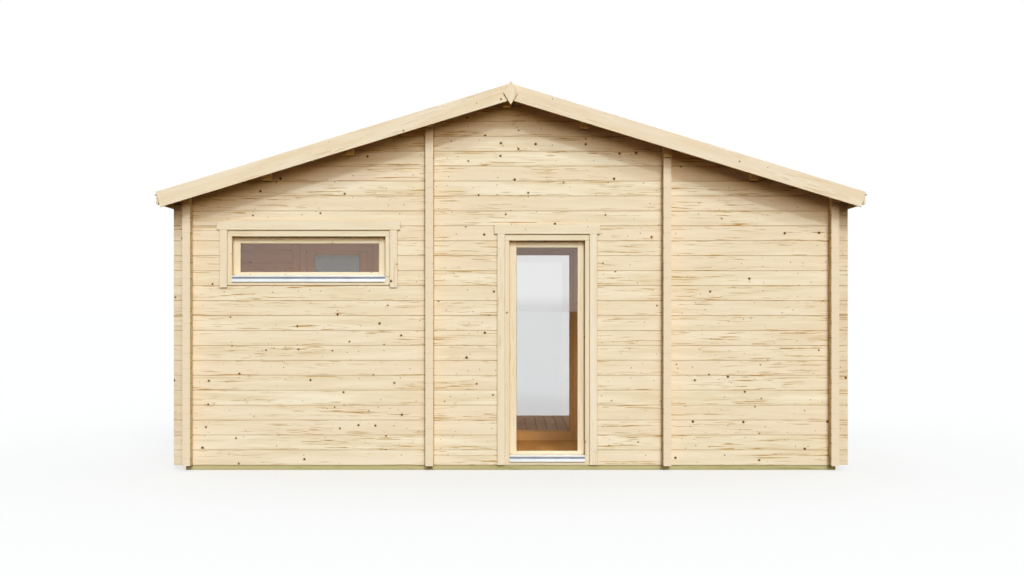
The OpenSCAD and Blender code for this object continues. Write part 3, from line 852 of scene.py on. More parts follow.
@dataclass
class Floors:
    """The boards underfoot: tongued and grooved in the rooms, spaced and screwed on the terrace.

    rooms_at gives each room's inner faces along X, and log_ends the axes of the log ends that the
    terrace boards are notched round, half as wide and as long as notch says. screw_head is the
    radius and height of a deck screw's head.
    """

    bench: Bench
    plan: Plan
    rooms_at: tuple[tuple[float, float], ...] = ((-2.873, -0.768), (-0.694, 1.368), (1.442, 2.873))
    room_pitch: float = 0.09
    deck_pitch: float = 0.12
    deck_gap: float = 0.005
    log_ends: tuple[float, ...] = (-2.91, -0.731, 1.405, 2.91)
    notch: tuple[float, float] = (0.037, 0.102)
    screw_in: float = 0.025
    screw_end: float = 0.04
    screw_rows: int = 9
    screw_clear: float = 0.01
    screw_head: tuple[float, float] = (0.0048, 0.0012)

    def rooms(self) -> None:
        """Boards the three rooms from rear to front."""
        bench = self.bench
        low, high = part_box("floor_boards")
        parts = []
        for left, right in self.rooms_at:
            count = round((right - left) / self.room_pitch)
            wide = (right - left) / count
            pattern = bench.blank((left, low.y, low.z), (left + wide, high.y, high.z), 0.0015)
            boards = bench.spread(pattern, [(i * wide, 0, 0) for i in range(count)])
            parts += [bench.grain(board, INWARD, FLOOR_BOARD) for board in boards]
        bench.fit(bench.join("room_floor_boards", parts), "board_pine", "floor_boards")

    def deck(self) -> None:
        """Lays the terrace boards, notches them round the log ends and screws them down."""
        bench = self.bench
        low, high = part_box("deck_boards")
        count = round((high.x - low.x) / self.deck_pitch)
        wide = (high.x - low.x - (count - 1) * self.deck_gap) / count
        half, long = self.notch
        end = self.plan.front + long
        notches = [((x - half, low.y - 0.01, 0), (x + half, end, 0.2)) for x in self.log_ends]
        pattern = bench.blank(low, (low.x + wide, high.y, high.z), 0.003, 2)
        starts = [i * (wide + self.deck_gap) for i in range(count)]
        boards = bench.spread(pattern, [(x, 0, 0) for x in starts])
        for x, board in zip(starts, boards):
            near = [n for n in notches if n[0][0] < low.x + x + wide and n[1][0] > low.x + x]
            bench.grain(bench.cut(board, near), INWARD, DECK_BOARD)
        bench.fit(bench.join("terrace_boards", boards), "board_pine", "deck_boards")

        first, last, clear = low.y + self.screw_end, high.y - self.screw_end, self.screw_clear
        heads = []
        for x in (low.x + start + at for start in starts for at in (self.screw_in, wide - self.screw_in)):
            for row in range(self.screw_rows):
                y = first + (last - first) * row / (self.screw_rows - 1)
                if not any(n[0][0] - clear < x < n[1][0] + clear and y < n[1][1] + clear for n in notches):
                    heads.append((x, y, high.z))
        screws = bench.spread(bench.rod((0, 0, 0), *self.screw_head, sides=8), heads)
        bench.fit(bench.join("terrace_screws", screws), "steel_fittings", finish=STEEL)


@dataclass
class Roof:
    """Boards over the purlins, felt over the boards, and the boards that trim their edges.

    waste is what a board is longer by before it is sawn. nail_in is how far up a felt nail stands
    from its sheet's foot, and from the eave on the last sheet, and nail_head its radius and height.
    cap says where the felt over the ridge begins and ends, cap_high its underside and top as
    shares of the felt's thickness, and cap_nails where its nails are.
    """

    bench: Bench
    plan: Plan
    waste: float = 0.05
    board_pitch: float = 0.089
    board_thick: float = 0.019
    board_edge: float = 3.105
    felt_sheets: int = 4
    felt_thick: float = 0.0023
    felt_room: float = 0.005
    felt_lap: float = 0.08
    felt_arris: float = 0.0006
    cap: tuple[float, float] = (-0.02, 0.165)
    cap_high: tuple[float, float] = (0.2, 1.6)
    cap_nails: tuple[float, float] = (0.145, 0.0037)
    nails: int = 64
    nail_in: tuple[float, float] = (0.025, 0.02)
    nail_end: float = 0.05
    nail_head: tuple[float, float] = (0.006, 0.0011)
    barge_wide: float = 0.14
    barge_foot: float = 3.125
    barge_gap: float = 0.0005
    barge_lift: float = 0.00015
    finial_thick: float = 0.02

    def up(self, across: float) -> float:
        """Gives the length on the slope of a length on the level, or a plumb height of a thickness."""
        return across / math.cos(self.plan.lean)

    def fibres(self, hand: Hand) -> Corner:
        """Gives the way that boards run up one half of the roof."""
        return math.cos(self.plan.lean), 0, -hand.value * math.sin(self.plan.lean)

    def pitch(self, piece: Piece, hand: Hand, ridge: float, *saws: float) -> Piece:
        """Leans a level piece to the slope, saws it plumb and puts it on its half of the roof.

        Args:
            piece: The piece, with the ridge at X 0 and its foot towards +X.
            hand: Its half of the roof.
            ridge: How high it is lifted at the ridge.
            *saws: Places along X of the cut at the ridge and of the one at the eave.

        Returns:
            The same piece.
        """
        self.bench.tilt(piece, self.plan.slope)
        self.bench.move(piece, (0, 0, ridge))
        for x, way in zip(saws, BOTH_SIDES):
            self.bench.trim_at(piece, (x, 0, 0), (way, 0, 0))
        if hand is Hand.LEFT:
            self.bench.mirror(piece)
        return piece

    def boards(self) -> None:
        """Lays the roof boards up the slope, side by side along the ridge."""
        bench, thick = self.bench, self.board_thick
        for hand in Hand:
            name = f"{hand.name.lower()}_roof_board"
            low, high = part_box(f"{name}s")
            count = round((high.y - low.y) / self.board_pitch)
            wide = (high.y - low.y) / count
            long = self.up(self.board_edge) + self.waste
            pattern = bench.blank((-self.waste, low.y, 0), (long, low.y + wide, thick), 0.003)
            self.pitch(pattern, hand, high.z - self.up(thick), 0, self.board_edge)
            boards = bench.spread(pattern, [(0, i * wide, 0) for i in range(count)])
            parts = [bench.grain(board, self.fibres(hand), ROOF_BOARD) for board in boards]
            bench.fit(bench.join(f"{name}ing", parts), "board_pine", f"{name}s")

    def felt(self) -> None:
        """Rolls out the felt along the eaves, each sheet lapping the one below, and nails its laps."""
        bench, thick = self.bench, self.felt_thick
        for hand in Hand:
            side = hand.name.lower()
            low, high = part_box(f"{side}_roof_felt")
            edge, ridge = max(-low.x, high.x), high.z - self.up(self.felt_room)
            step = self.up(edge) / self.felt_sheets
            parts, rows = [], []
            for i in range(self.felt_sheets):
                top, foot = max(0.0, i * step - self.felt_lap), (i + 1) * step
                last = i == self.felt_sheets - 1
                climb = 0.0 if last else thick / (foot - top)
                parts.append(bench.blank((top, low.y, 0), (foot, high.y, thick), self.felt_arris))
                bench.tilt(parts[-1], -math.degrees(math.atan(climb)), top)
                row = foot - self.nail_in[last]
                rows.append((row, thick + climb * (row - top)))
            cap = [(x, y, thick * up) for x, y, up in zip(self.cap, (low.y, high.y), self.cap_high)]
            parts.append(bench.blank(*cap, self.felt_arris))
            rows.append(self.cap_nails)
            first, step = low.y + self.nail_end, (high.y - low.y - 2 * self.nail_end) / (self.nails - 1)
            heads = [(row, first + j * step, up) for row, up in rows for j in range(self.nails)]
            heads = bench.spread(bench.rod((0, 0, 0), *self.nail_head, sides=6), heads)
            sheets = self.pitch(bench.join(f"{side}_roof_felt_sheets", parts), hand, ridge, 0, edge)
            bench.fit(sheets, "roof_felt", f"{side}_roof_felt", finish=FELT)
            nails = self.pitch(bench.join(f"{side}_felt_nails", heads), hand, ridge)
            bench.fit(nails, "steel_fittings", finish=ZINC)

    def barge_boards(self) -> None:
        """Makes the barge boards of both gables, plumb cut at the ridge and square at the foot."""
        bench = self.bench
        for end in ("rear", "front"):
            low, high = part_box(f"{end}_barge_boards")
            parts = []
            for hand in Hand:
                foot = (self.up(self.barge_foot), high.y, 0)
                board = bench.blank((-2 * self.waste, low.y, -self.barge_wide), foot, segments=2)
                self.pitch(board, hand, high.z + self.barge_lift, self.barge_gap)
                parts.append(bench.grain(board, self.fibres(hand), BARGE))
            bench.fit(bench.join(f"{end}_barge_boarding", parts), "board_pine", f"{end}_barge_boards")

    def finials(self) -> None:
        """Makes the diamond boards over the barge joints."""
        bench, thick = self.bench, self.finial_thick
        low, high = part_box("finials")
        middle, half = (low.z + high.z) / 2, (high.z - low.z) / 2
        parts = []
        for y in (low.y, high.y - thick):
            board = bench.blank((low.x, y, low.z), (high.x, y + thick, high.z), 0.0)
            for out in BOTH_SIDES:
                for up in BOTH_SIDES:
                    bench.trim_at(board, (0, 0, middle + up * half), (half * out, 0, high.x * up))
            bench.ease(board, lambda p: True, 0.0015)
            parts.append(bench.grain(board, UPRIGHT, BARGE))
        bench.fit(bench.join("diamond_boards", parts), "board_pine", "finials")

    def eave_boards(self) -> None:
        """Makes the eave boards, bevelled along the top to the slope."""
        bench = self.bench
        low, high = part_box("eave_boards")
        parts = []
        for hand in Hand:
            inner = hand.value * self.board_edge
            board = bench.blank((inner, low.y, low.z), (hand.value * high.x, high.y, high.z))
            bench.trim_at(board, (inner, 0, high.z), (hand.value * math.tan(self.plan.lean), 0, 1))
            parts.append(bench.grain(board, INWARD, BARGE))
        bench.fit(bench.join("eave_boarding", parts), "board_pine", "eave_boards")


@dataclass(frozen=True)
class Opening:
    """A cut-out in a wall, with the widths of the sash or leaf that closes it.

    x is its middle. low and high are heights over the underside of the wall. back is how far the
    sash or leaf stands behind the wall face.
    """

    wall: Wall
    x: float
    wide: float = 0.799
    low: float = 0.0
    high: float = 2.098
    side: float = 0.077
    top: float = 0.072
    bottom: float = 0.049
    back: float = 0.070
    glass: Glazing = CLEAR_GLASS


@dataclass(frozen=True)
class Door(Opening):
    """A doorway, with its leaf's name and body, its glass's slot and its handle's way in from the edge."""

    side: float = 0.102
    top: float = 0.057
    bottom: float = 0.2
    back: float = 0.0
    glass: Glazing = TINTED_GLASS
    name: str = "right"
    body: str = "building"
    slot: str = "tinted_glass"
    handle_in: float = 0.051


TRANSOM, TALL = Opening(Wall.REAR, -1.8265, 1.5, 1.62, 2.135), Opening(Wall.REAR, 0.329)
DOORS = (Door(Wall.FRONT, -1.8205, name="left", body="left_door"),
         Door(Wall.FRONT, 0.337, side=0.057, bottom=0.092, glass=CLEAR_GLASS, name="middle",
              body="middle_door", slot="clear_glass", handle_in=0.0325),
         Door(Wall.FRONT, 2.1575))


@dataclass(frozen=True)
class Sections:
    """The sections of the joinery, in metres.

    deck_up and floor_up are how high the terrace and the room floors lie over the walls' underside,
    where the trims beside the doors stand. trim_drop is how far the transom's reach below its opening.
    """

    fit: float = 0.005
    frame: float = 0.052
    sill: float = 0.036
    step: float = 0.047
    gap: float = 0.010
    sill_gap: float = 0.012
    stop: float = 0.012
    window_head: float = 0.065
    window_sill: float = 0.083
    sill_face: float = 0.028
    drip: float = 0.060
    wall: float = 0.070
    sash: float = 0.042
    lap: float = 0.012
    glass_front: float = 0.014
    glass: float = 0.018
    sheet: float = 0.004
    thin: float = 0.0005
    spacer_gap: float = 0.0006
    spacer_in: float = 0.0015
    chamfer: float = 0.003
    rail_arris: float = 0.0008
    bead_arris: float = 0.003
    trim_arris: float = 0.0025
    trim: float = 0.068
    trim_thick: float = 0.018
    trim_cover: float = 0.016
    trim_drop: float = 0.018
    deck_up: float = 0.028
    floor_up: float = 0.039
    head_cover: float = 0.007
    head_high: float = 0.084
    head_over: float = 0.026


@dataclass
class Joinery:
    """Frames, sashes, leaves, glazing and the boards round them."""

    bench: Bench
    plan: Plan
    size: Sections = field(default_factory=Sections)

    def spot(self, o: Opening, p: Corner) -> Corner:
        """Turns a place in an opening into one in the cabin.

        Args:
            o: The opening.
            p: X from its middle, depth behind the wall face, and height over the wall's underside.

        Returns:
            The place in the cabin.
        """
        y = self.plan.rear + p[1] if o.wall is Wall.REAR else self.plan.front - p[1]
        return o.x + p[0], y, self.plan.base + p[2]

    def blank(self, o: Opening, low: Corner, high: Corner, arris: float = 0.002, segments: int = 1) -> Piece:
        """Starts a blank between two corners in an opening."""
        return self.bench.blank(self.spot(o, low), self.spot(o, high), arris, segments)

    def member(self, o: Opening, low: Corner, high: Corner, fibres: Corner, finish: Pine = JOINERY,
               arris: float = 0.002, segments: int = 1, rebate: tuple[Corner, Corner] | None = None,
               chamfer: Test | None = None) -> Piece:
        """Makes one member of a frame or a sash.

        Args:
            o: The opening.
            low: One corner, in the opening.
            high: The corner across from it.
            fibres: The way its fibres run.
            finish: Its timber.
            arris: Width of its eased edges.
            segments: Steps in them.
            rebate: Two corners of the room cut in it for what it holds.
            chamfer: True for the middles of the edges that are chamfered.

        Returns:
            The member.
        """
        piece = self.blank(o, low, high, arris, segments)
        if rebate:
            self.bench.cut(piece, [(self.spot(o, rebate[0]), self.spot(o, rebate[1]))])
        if chamfer:
            self.bench.ease(piece, chamfer, self.size.chamfer)
        return self.bench.grain(piece, fibres, finish)

    def foot(self, o: Opening) -> float:
        """Gives the height of a frame's foot over the wall's underside."""
        return o.low + (self.size.fit if o.low else 0)

    def frame(self, o: Opening) -> list[Piece]:
        """Makes a frame: a plain ring as deep as the wall for a window, a rebated one for a door.

        Args:
            o: The opening.

        Returns:
            Its members.
        """
        s = self.size
        foot, x, high = self.foot(o), o.wide / 2 - s.fit, o.high - s.fit
        if o.wall is Wall.REAR:
            rebate, inner, sill, head = None, x - s.frame, foot + s.window_sill, high - s.window_head
        else:
            rebate = (s.frame - x, -0.01, s.sill), (x - s.frame, s.step, high - s.frame)
            lip = s.frame + s.gap + s.stop
            inner, sill, head = x - lip, s.sill + s.sill_gap + s.stop, high - lip
        return [*(self.member(o, (way * x, 0, sill), (way * inner, s.wall, head), UPRIGHT, rebate=rebate)
                  for way in BOTH_SIDES),
                *(self.member(o, (-x, 0, low), (x, s.wall, top), ACROSS, rebate=rebate)
                  for low, top in ((foot, sill), (head, high)))]

    def leaf_box(self, o: Opening) -> tuple[float, float, float]:
        """Gives a sash or leaf's half width and its heights over the wall's underside.

        Args:
            o: The opening.

        Returns:
            Half its width, its foot and its top.
        """
        s = self.size
        half, high = o.wide / 2 - s.fit - s.frame, o.high - s.fit
        if o.wall is Wall.REAR:
            return half + s.stop, self.foot(o) + s.window_sill - s.stop, high - s.window_head + s.stop
        return half - s.gap, s.sill + s.sill_gap, high - s.frame - s.gap

    def glass_box(self, o: Opening) -> tuple[float, float, float]:
        """Gives the half width, foot and top of the rebate that the glass stands in."""
        (x, foot, top), lap = self.leaf_box(o), self.size.lap
        return x - o.side + lap, foot + o.bottom - lap, top - o.top + lap

    def leaf(self, o: Opening) -> list[Piece]:
        """Makes a sash or a door leaf: rails between stiles, with a chamfer and beads round the glass.

        Args:
            o: The opening.

        Returns:
            Its members.
        """
        s = self.size
        (x, foot, top), (gx, low, high) = self.leaf_box(o), self.glass_box(o)
        inner, y0, y1 = x - o.side, o.back, o.back + s.sash
        rebate = (-gx, y0 + s.glass_front, low), (gx, y1 + 0.01, high)
        face, middle = self.spot(o, (0, y0, (foot + top) / 2))[1:]

        def by_glass(p: Vector) -> bool:
            """Finds the stiles' outer edges by the glass."""
            return (abs(abs(p.x - o.x) - inner) < s.chamfer and abs(p.y - face) < s.chamfer
                    and abs(p.z - middle) < (top - foot) / 2 - 0.01)

        parts = [self.member(o, (way * x, y0, foot), (way * inner, y1, top), UPRIGHT, segments=2,
                             rebate=rebate, chamfer=by_glass) for way in BOTH_SIDES]
        parts += [self.member(o, (-inner, y0, z0), (inner, y1, z1), ACROSS,
                             arris=s.rail_arris, rebate=rebate)
                  for z0, z1 in ((foot, foot + o.bottom), (top - o.top, top))]
        # Glazing beads, chamfered towards the room
        y0, y1 = y0 + s.glass_front + s.glass, y1 - s.thin
        parts += [self.member(o, (way * gx, y0, low + s.lap), (way * (gx - s.lap), y1, high - s.lap), UPRIGHT,
                              arris=s.bead_arris) for way in BOTH_SIDES]
        return parts + [self.member(o, (-gx, y0, z), (gx, y1, z + s.lap), ACROSS, arris=s.bead_arris)
                        for z in (low, high - s.lap)]

    def pane(self, o: Opening) -> tuple[list[Piece], list[Piece]]:
        """Makes a glazing unit: two sheets of glass with a spacer bar between their edges.

        Args:
            o: The opening.

        Returns:
            The sheets, and the bars of the spacer.
        """
        s = self.size
        gx, low, high = self.glass_box(o)
        gx, low, high, front = gx - s.thin, low + s.thin, high - s.thin, o.back + s.glass_front
        sheets = [self.blank(o, (-gx, y, low), (gx, y + s.sheet, high), s.thin)
                  for y in (front + s.thin, front + s.glass - s.sheet - s.thin)]
        y0, y1 = front + s.sheet + s.spacer_gap, front + s.glass - s.sheet - s.spacer_gap
        deep = s.lap - s.spacer_in
        bars = [((-gx, z), (gx, z + deep)) for z in (low, high - deep)]
        bars += [((x, low + deep), (x + deep, high - deep)) for x in (-gx, gx - deep)]
        return sheets, [self.blank(o, (x0, y0, z0), (x1, y1, z1), s.thin) for (x0, z0), (x1, z1) in bars]

    def trims(self, o: Opening, *feet: float) -> list[Piece]:
        """Makes the boards beside and over an opening, on both faces of the wall.

        Args:
            o: The opening.
            *feet: Height of the side boards' feet, outside and inside.

        Returns:
            The boards.
        """
        s = self.size
        x, head = o.wide / 2 - s.trim_cover, o.high - s.fit - s.head_cover
        over, parts = x + s.trim + s.head_over, []
        for y, foot in zip((-s.trim_thick, s.wall), feet):
            boards = [(way * x, way * (x + s.trim), foot, head, UPRIGHT) for way in BOTH_SIDES]
            boards.append((-over, over, head, head + s.head_high, ACROSS))
            parts += [self.member(o, (x0, y, z0), (x1, y + s.trim_thick, z1), fibres, TRIM, s.trim_arris)
                      for x0, x1, z0, z1, fibres in boards]
        return parts

    def drip(self, o: Opening) -> Piece:
        """Makes the drip profile of a window: a nose, an open channel, a lip, a flange and the ends.

        Args:
            o: The opening.

        Returns:
            The profile.
        """
        s, parts = self.size, []
        x, foot = o.wide / 2 - s.fit - s.frame - 0.001, self.foot(o) + s.sill_face
        # From and to along X, from and to in depth, from and to in height, arris, its steps and finish
        for x0, x1, y0, y1, z0, z1, arris, steps, finish in (
                (-x, x, -0.016, 0, 0, 0.026, 0.003, 2, DRIP),
                # The grey seal at the back of the channel is partly painted shade
                (-x, x, -0.002, 0, 0.024, 0.05, s.thin, 1, SEAL_AND_PAINTED_SHADE),
                (-x, x, -0.013, 0, 0.046, s.drip, 0.0025, 2, DRIP),
                (-x, x, -0.001, s.wall - 0.001, 0.055, 0.0595, s.thin, 1, DRIP),
                *((way * x, way * (x - 0.0015), -0.0155, 0, 0.0005, 0.0275, 0.0004, 1, DRIP)
                  for way in BOTH_SIDES)):
            part = self.blank(o, (x0, y0, foot + z0), (x1, y1, foot + z1), arris, steps)
            parts.append(self.bench.paint(part, finish))
        return self.bench.join("drip", parts)

    def timber(self, name: str, parts: Sequence[Piece], node: str, body: str = "building") -> None:
        """Joins members and hands them to their body."""
        self.bench.fit(self.bench.join(name, parts), "joinery_pine", node, body=body)

    def glaze(self, name: str, units: Sequence[Opening], node: str, slot: str,
              body: str = "building") -> None:
        """Glazes the sashes of one body.

        Args:
            name: What the glazing belongs to.
            units: The openings.
            node: The CAD node that the glass stands for.
            slot: The record's slot for the glass.
            body: The body that it moves with.
        """
        bench, sheets, bars = self.bench, [], []
        for glass, spacer in map(self.pane, units):
            sheets += glass
            bars += spacer
        sheets = bench.join(f"{name}_glass_sheets", sheets)
        bench.fit(sheets, slot, node, body=body, finish=units[0].glass)
        bars = bench.join(f"{name}_glass_spacers", bars)
        bench.fit(bars, "drip_aluminium", body=body, finish=SPACER)

    def windows(self) -> None:
        """Makes both rear windows, with their trims and drips."""
        units, s = (TRANSOM, TALL), self.size
        self.timber("window_frame_members", [p for o in units for p in self.frame(o)], "window_frames")
        self.timber("window_sash_members", [p for o in units for p in self.leaf(o)], "window_sashes")
        self.glaze("window", units, "window_panes", "clear_glass")
        below = TRANSOM.low - s.trim_drop
        trims = self.trims(TRANSOM, below, below) + self.trims(TALL, 0.0, s.floor_up)
        self.timber("window_trim_boards", trims, "window_trims")
        drips = self.bench.join("window_drip_profiles", [self.drip(o) for o in units])
        self.bench.fit(drips, "drip_aluminium", "window_drips", smooth=True)

    def doors(self) -> None:
        """Makes the three doors: frames and trims on the wall, leaves and glass on their bodies."""
        feet = self.size.deck_up, self.size.floor_up
        self.timber("door_frame_members", [p for o in DOORS for p in self.frame(o)], "door_frames")
        self.timber("door_trim_boards", [p for o in DOORS for p in self.trims(o, *feet)], "door_trims")
        for o in DOORS:
            self.timber(f"{o.name}_door_members", self.leaf(o), f"{o.name}_door_leaf", o.body)
            self.glaze(f"{o.name}_door", (o,), f"{o.name}_door_pane", o.slot, o.body)


@dataclass
class Ironmongery:
    """Hinges and bar handles of the doors.

    knuckle_gap is between the halves of a hinge, and plate_reach how far their plates reach over
    the frame and the leaf. screws are heights up a plate and places across it, as shares of the
    plate, less leaf_shift on the leaf, and screw_head is the radius and height of their heads.
    """

    bench: Bench
    joinery: Joinery
    handle_high: float = 1.049
    bar_radius: float = 0.010
    bar_long: float = 0.300
    reach: float = 0.045
    post_radius: float = 0.007
    post_in: float = 0.040
    rose_radius: float = 0.014
    hinge_radius: float = 0.007
    hinge_long: float = 0.09
    hinge_in: float = 0.18
    knuckle_gap: float = 0.0005
    plate_thick: float = 0.002
    plate_reach: float = 0.032
    screws: tuple[tuple[float, float], ...] = ((0.22, 0.62), (0.5, 0.45), (0.78, 0.62))
    leaf_shift: float = 0.25
    screw_head: tuple[float, float] = (0.0034, 0.0012)
    screw_up: float = 0.0002

    def hang(self, name: str, parts: Sequence[Piece], node: str, body: str, finish: Metal = ZINC) -> None:
        """Joins metal parts and hands them to their body."""
        piece = self.bench.join(name, parts)
        self.bench.fit(piece, "steel_fittings", node, body=body, finish=finish, smooth=True)

    def bar_handle(self, x: float, face: float, out: float) -> list[Piece]:
        """Makes an upright bar on two posts, each on a round rose.

        Args:
            x: The bar's axis.
            face: The leaf's face.
            out: 1 or -1, the way along Y that points off the leaf.

        Returns:
            Its parts.
        """
        rod, z, deep = self.bench.rod, self.joinery.plan.base + self.handle_high, self.reach - 0.006
        parts = [rod((x, face + self.reach * out, z), self.bar_radius, self.bar_long, sides=24, arris=0.003)]
        for end in BOTH_SIDES:
            level = z + end * (self.bar_long / 2 - self.post_in)
            # The post, its rose, and the small screw in the rose's rim that holds the post: how far
            # off the leaf and down, radius, length, sides and eased edge
            for off, drop, radius, long, sides, arris in (
                    (0.002 + deep / 2, 0, self.post_radius, deep, 20, 0.0005),
                    (0.002, 0, self.rose_radius, 0.004, 28, 0.001),
                    (0.0042, 0.0105, 0.0016, 0.001, 10, 0.0003)):
                place = x, face + off * out, level - drop
                parts.append(rod(place, radius, long, Grain.ALONG_Y, sides, arris))
        return parts

    def handles(self) -> None:
        """Puts a bar on both faces of each door, by the edge away from its hinges."""
        joinery = self.joinery
        for o in DOORS:
            x = o.x - joinery.leaf_box(o)[0] + o.handle_in
            bars = [part for deep, out in ((0, 1), (joinery.size.sash, -1))
                    for part in self.bar_handle(x, joinery.spot(o, (0, deep, 0))[1], out)]
            self.hang(f"{o.name}_door_bars", bars, f"{o.name}_door_handle", o.body, STEEL)

    def hinge_half(self, o: Door, x: float, z: float, up: int) -> list[Piece]:
        """Makes the lower or the upper half of a hinge, with its screws.

        Args:
            o: The doorway.
            x: The pin's axis, from the doorway's middle.
            z: The hinge's middle, over the wall's underside.
            up: -1 for the lower half, on the frame, or 1 for the upper, on the leaf.

        Returns:
            Its parts.
        """
        joinery, r, half, gap = self.joinery, self.hinge_radius, self.hinge_long / 2, self.knuckle_gap
        knuckle = joinery.spot(o, (x, -r, z + up * (half + gap) / 2))
        parts = [self.bench.rod(knuckle, r, half - gap, arris=0.0015)]
        wide = joinery.size.gap / 2 + self.plate_reach
        left = x - wide if up > 0 else x
        low, high = sorted((z + up * gap, z + up * half))
        plate = (left, -self.plate_thick, low), (left + wide, 0, high)
        parts.append(joinery.blank(o, *plate, 0.0006))
        for share, across in self.screws:
            across -= self.leaf_shift if up > 0 else 0.0
            place = left + wide * across, -self.screw_up - self.plate_thick, low + (high - low) * share
            parts.append(self.bench.rod(joinery.spot(o, place), *self.screw_head, Grain.ALONG_Y, 12, 0.0003))
        return parts

    def hinges(self) -> None:
        """Makes the hinges: the lower half with its plate on the frame, the upper on the leaf."""
        pins = []
        for o in DOORS:
            half, foot, top = self.joinery.leaf_box(o)
            x = half + self.joinery.size.gap / 2
            levels = (foot + self.hinge_in, (foot + top) / 2, top - self.hinge_in)
            pins += [part for z in levels for part in self.hinge_half(o, x, z, -1)]
            halves = [part for z in levels for part in self.hinge_half(o, x, z, 1)]
            self.hang(f"{o.name}_door_hinge_halves", halves, f"{o.name}_door_hinges", o.body)
        self.hang("frame_hinge_halves", pins, "door_hinge_pins", "building")


# ---------------------------------------------------------------------------- the studio


# How far off the suns hang, which changes nothing but where they show in the editor
SUN_AWAY = 30.0


@dataclass(frozen=True)
class Sun:
    """A sun lamp in front of the rear gable.

    side is degrees round to the right of the view, height degrees over the horizon and width its
    apparent width in degrees, which softens shadows. mirrored says whether gloss shows it.
    """

    name: str
    side: float
    height: float
    power: float
    width: float
    colour: str = "EAF8FF"
    mirrored: bool = True

    def hang(self) -> None:
        """Adds the lamp to the scene."""
        lamp = bpy.data.lights.new(self.name, "SUN")
        lamp.energy, lamp.angle, lamp.color = self.power, math.radians(self.width), linear(self.colour)[:3]
        a, e = math.radians(self.side), math.radians(self.height)
        towards = Vector((math.sin(a) * math.cos(e), -math.cos(a) * math.cos(e), math.sin(e)))
        holder = bpy.data.objects.new(self.name, lamp)
        holder.rotation_euler = towards.to_track_quat("Z", "Y").to_euler()
        holder.location = towards * SUN_AWAY
        holder.visible_glossy = holder.visible_transmission = self.mirrored
        bpy.context.scene.collection.objects.link(holder)


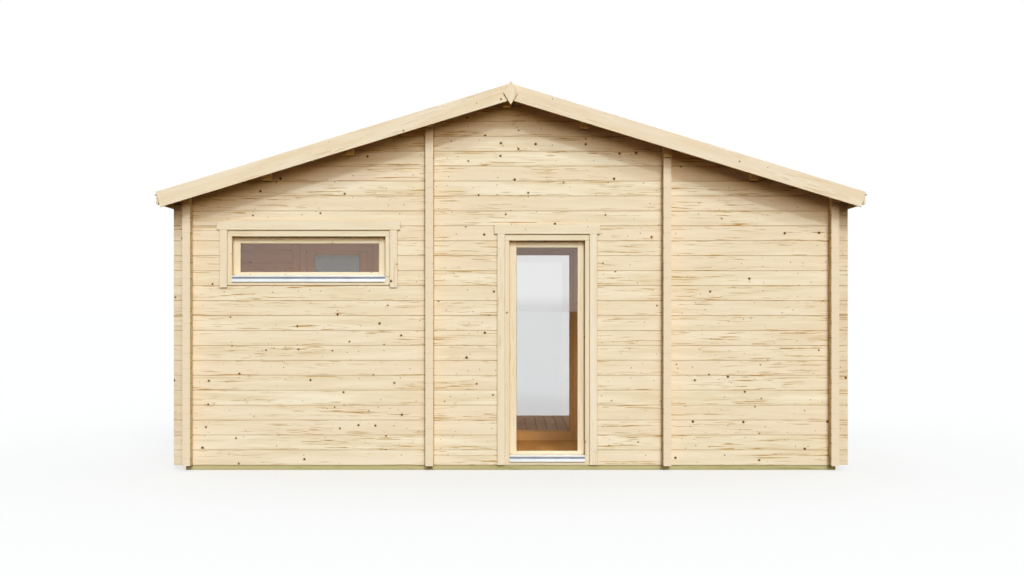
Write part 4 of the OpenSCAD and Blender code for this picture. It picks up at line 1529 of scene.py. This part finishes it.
@dataclass
class Studio:
    """A pale floor under a white sky, four suns in front, lamps indoors, and the camera.

    The floor looks pale and keeps the cabin's shadow, but throws little light back up: floor_colour
    is what is seen, floor_mirrored what the glass mirrors, and floor_return what it gives back.
    room_lamps are the places and watts of warm lamps, for the glow of sunlit boards in the rooms.
    mist is how white the sky is at the horizon, and mist_high how far up it is less than white.
    """

    sky_before: float = 0.25
    sky_behind: float = 1.2
    mist: float = 0.82
    mist_high: float = 0.013
    suns: tuple[Sun, ...] = (
        Sun("wide_sun", 8.0, 23.0, 1.76, 38.0, mirrored=False),
        Sun("low_warm_sun", 8.0, 8.0, 0.56, 18.0, "FFC654", False),
        Sun("lower_sun", 10.0, 28.5, 0.80, 2.0), Sun("upper_sun", 10.0, 40.0, 0.56, 2.5))
    room_lamps: tuple[tuple[float, ...], ...] = ((-1.85, -1.75, 1.0, 9.0), (0.35, -1.75, 0.8, 6.0))
    lamp_colour: str = "FFD892"
    lamp_radius: float = 0.35
    floor_radius: float = 1500.0
    floor_colour: float = 0.35
    floor_mirrored: float = 0.03
    floor_return: float = 0.02
    floor_glow: float = 0.62
    floor_glow_through: float = 0.76
    camera_at: tuple[float, float, float] = (0.0, -15.70, 1.441)
    lens: float = 50.0
    sensor: float = 36.0
    shift: tuple[float, float] = (0.0012, 0.02197)
    sight: float = 4000.0

    def build(self) -> None:
        """Builds the world, the floor, the lamps and the camera."""
        self.world()
        self.floor()
        for sun in self.suns:
            sun.hang()
        for number, (*at, power) in enumerate(self.room_lamps, 1):
            self.room_lamp(f"room_lamp_{number}", at, power)
        self.camera()

    def world(self) -> None:
        """Makes the sky white to look at and plain as a light."""
        world = bpy.data.worlds.new("white_studio")
        bpy.context.scene.world = world
        g = Graph(world)
        rays = g.add("LightPath").node.outputs
        _, inward, up = g.split(g.add("TexCoord"))
        strength = g.ramp(inward, -0.1, 0.3, self.sky_before, self.sky_behind)
        light = g.add("Background", {"Color": WHITE, "Strength": strength})
        mist = g.soft_ramp(up, 0.0, self.mist_high, self.mist, 1.0)
        mist = g.math("MAXIMUM", mist, rays["Is Camera Ray"])
        white = g.add("Background", {"Color": WHITE, "Strength": mist})
        seen = g.math("MAXIMUM", rays["Is Camera Ray"], rays["Is Glossy Ray"])
        seen = g.math("MAXIMUM", seen, rays["Is Transmission Ray"])
        g.add("OutputWorld", (g.add("MixShader", (seen, light, white)),))

    def floor(self) -> None:
        """Lays the floor, which keeps the cabin's shadow and is white where it is lit."""
        bpy.ops.object.select_all(action="DESELECT")
        bpy.ops.mesh.primitive_circle_add(vertices=96, radius=self.floor_radius, fill_type="NGON",
                                          location=(0, 0, -0.0005))
        floor = bpy.context.object
        bpy.ops.object.transform_apply(location=True, rotation=True, scale=True)
        floor.name = "studio_floor"
        material = bpy.data.materials.new("pale_studio_floor")
        g = Graph(material)
        rays = g.add("LightPath").node.outputs
        behind = g.math("GREATER_THAN", g.split(g.add("TexCoord", out=3))[1], 0.0)
        shown = g.math("MAXIMUM", rays["Is Camera Ray"], behind)
        tone = g.ramp(shown, 0.0, 1.0, self.floor_mirrored, self.floor_colour)
        tone = g.ramp(rays["Is Diffuse Ray"], 0.0, 1.0, tone, self.floor_return)
        matt = g.add("BsdfDiffuse", {"Color": g.even(tone)})
        glow = g.math("MULTIPLY", rays["Is Camera Ray"], self.floor_glow)
        through = g.math("MULTIPLY", rays["Is Transmission Ray"], behind)
        glow = g.math("MULTIPLY_ADD", through, self.floor_glow_through, glow)
        lit = g.add("Emission", {"Color": WHITE, "Strength": glow})
        g.add("OutputMaterial", (g.add("AddShader", (matt, lit)),))
        floor.data.materials.append(material)

    def room_lamp(self, name: str, at: Corner, power: float) -> None:
        """Hangs a warm lamp in a room.

        Args:
            name: Its name.
            at: Its place.
            power: Its strength in watts.
        """
        lamp = bpy.data.lights.new(name, "POINT")
        lamp.energy, lamp.shadow_soft_size, lamp.color = power, self.lamp_radius, linear(self.lamp_colour)[:3]
        holder = bpy.data.objects.new(name, lamp)
        holder.location = at
        holder.visible_camera = holder.visible_glossy = holder.visible_transmission = False
        bpy.context.scene.collection.objects.link(holder)

    def camera(self) -> None:
        """Sets the camera square to the rear gable, at eye height."""
        data = bpy.data.cameras.new("camera")
        data.lens, data.sensor_width, data.clip_end = self.lens, self.sensor, self.sight
        data.shift_x, data.shift_y = self.shift
        camera = bpy.data.objects.new("camera", data)
        camera.location, camera.rotation_euler = self.camera_at, (math.pi / 2, 0, 0)
        bpy.context.scene.collection.objects.link(camera)
        bpy.context.scene.camera = camera


def main() -> None:
    """Builds the cabin's looks in order."""
    logging.basicConfig(level=logging.INFO, format="%(message)s")
    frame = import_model()
    bpy.context.scene.view_settings.view_transform = "Standard"
    Studio().build()
    palette, plan = Palette(), Plan.read()
    bench = Bench(palette)
    LogWork(palette).dress(frame["nodes"])
    floors, roof, joinery = Floors(bench, plan), Roof(bench, plan), Joinery(bench, plan)
    floors.rooms()
    floors.deck()
    roof.boards()
    roof.felt()
    roof.barge_boards()
    roof.finials()
    roof.eave_boards()
    joinery.windows()
    joinery.doors()
    iron = Ironmongery(bench, joinery)
    iron.handles()
    iron.hinges()
    bench.clear()


if __name__ == "__main__":
    main()
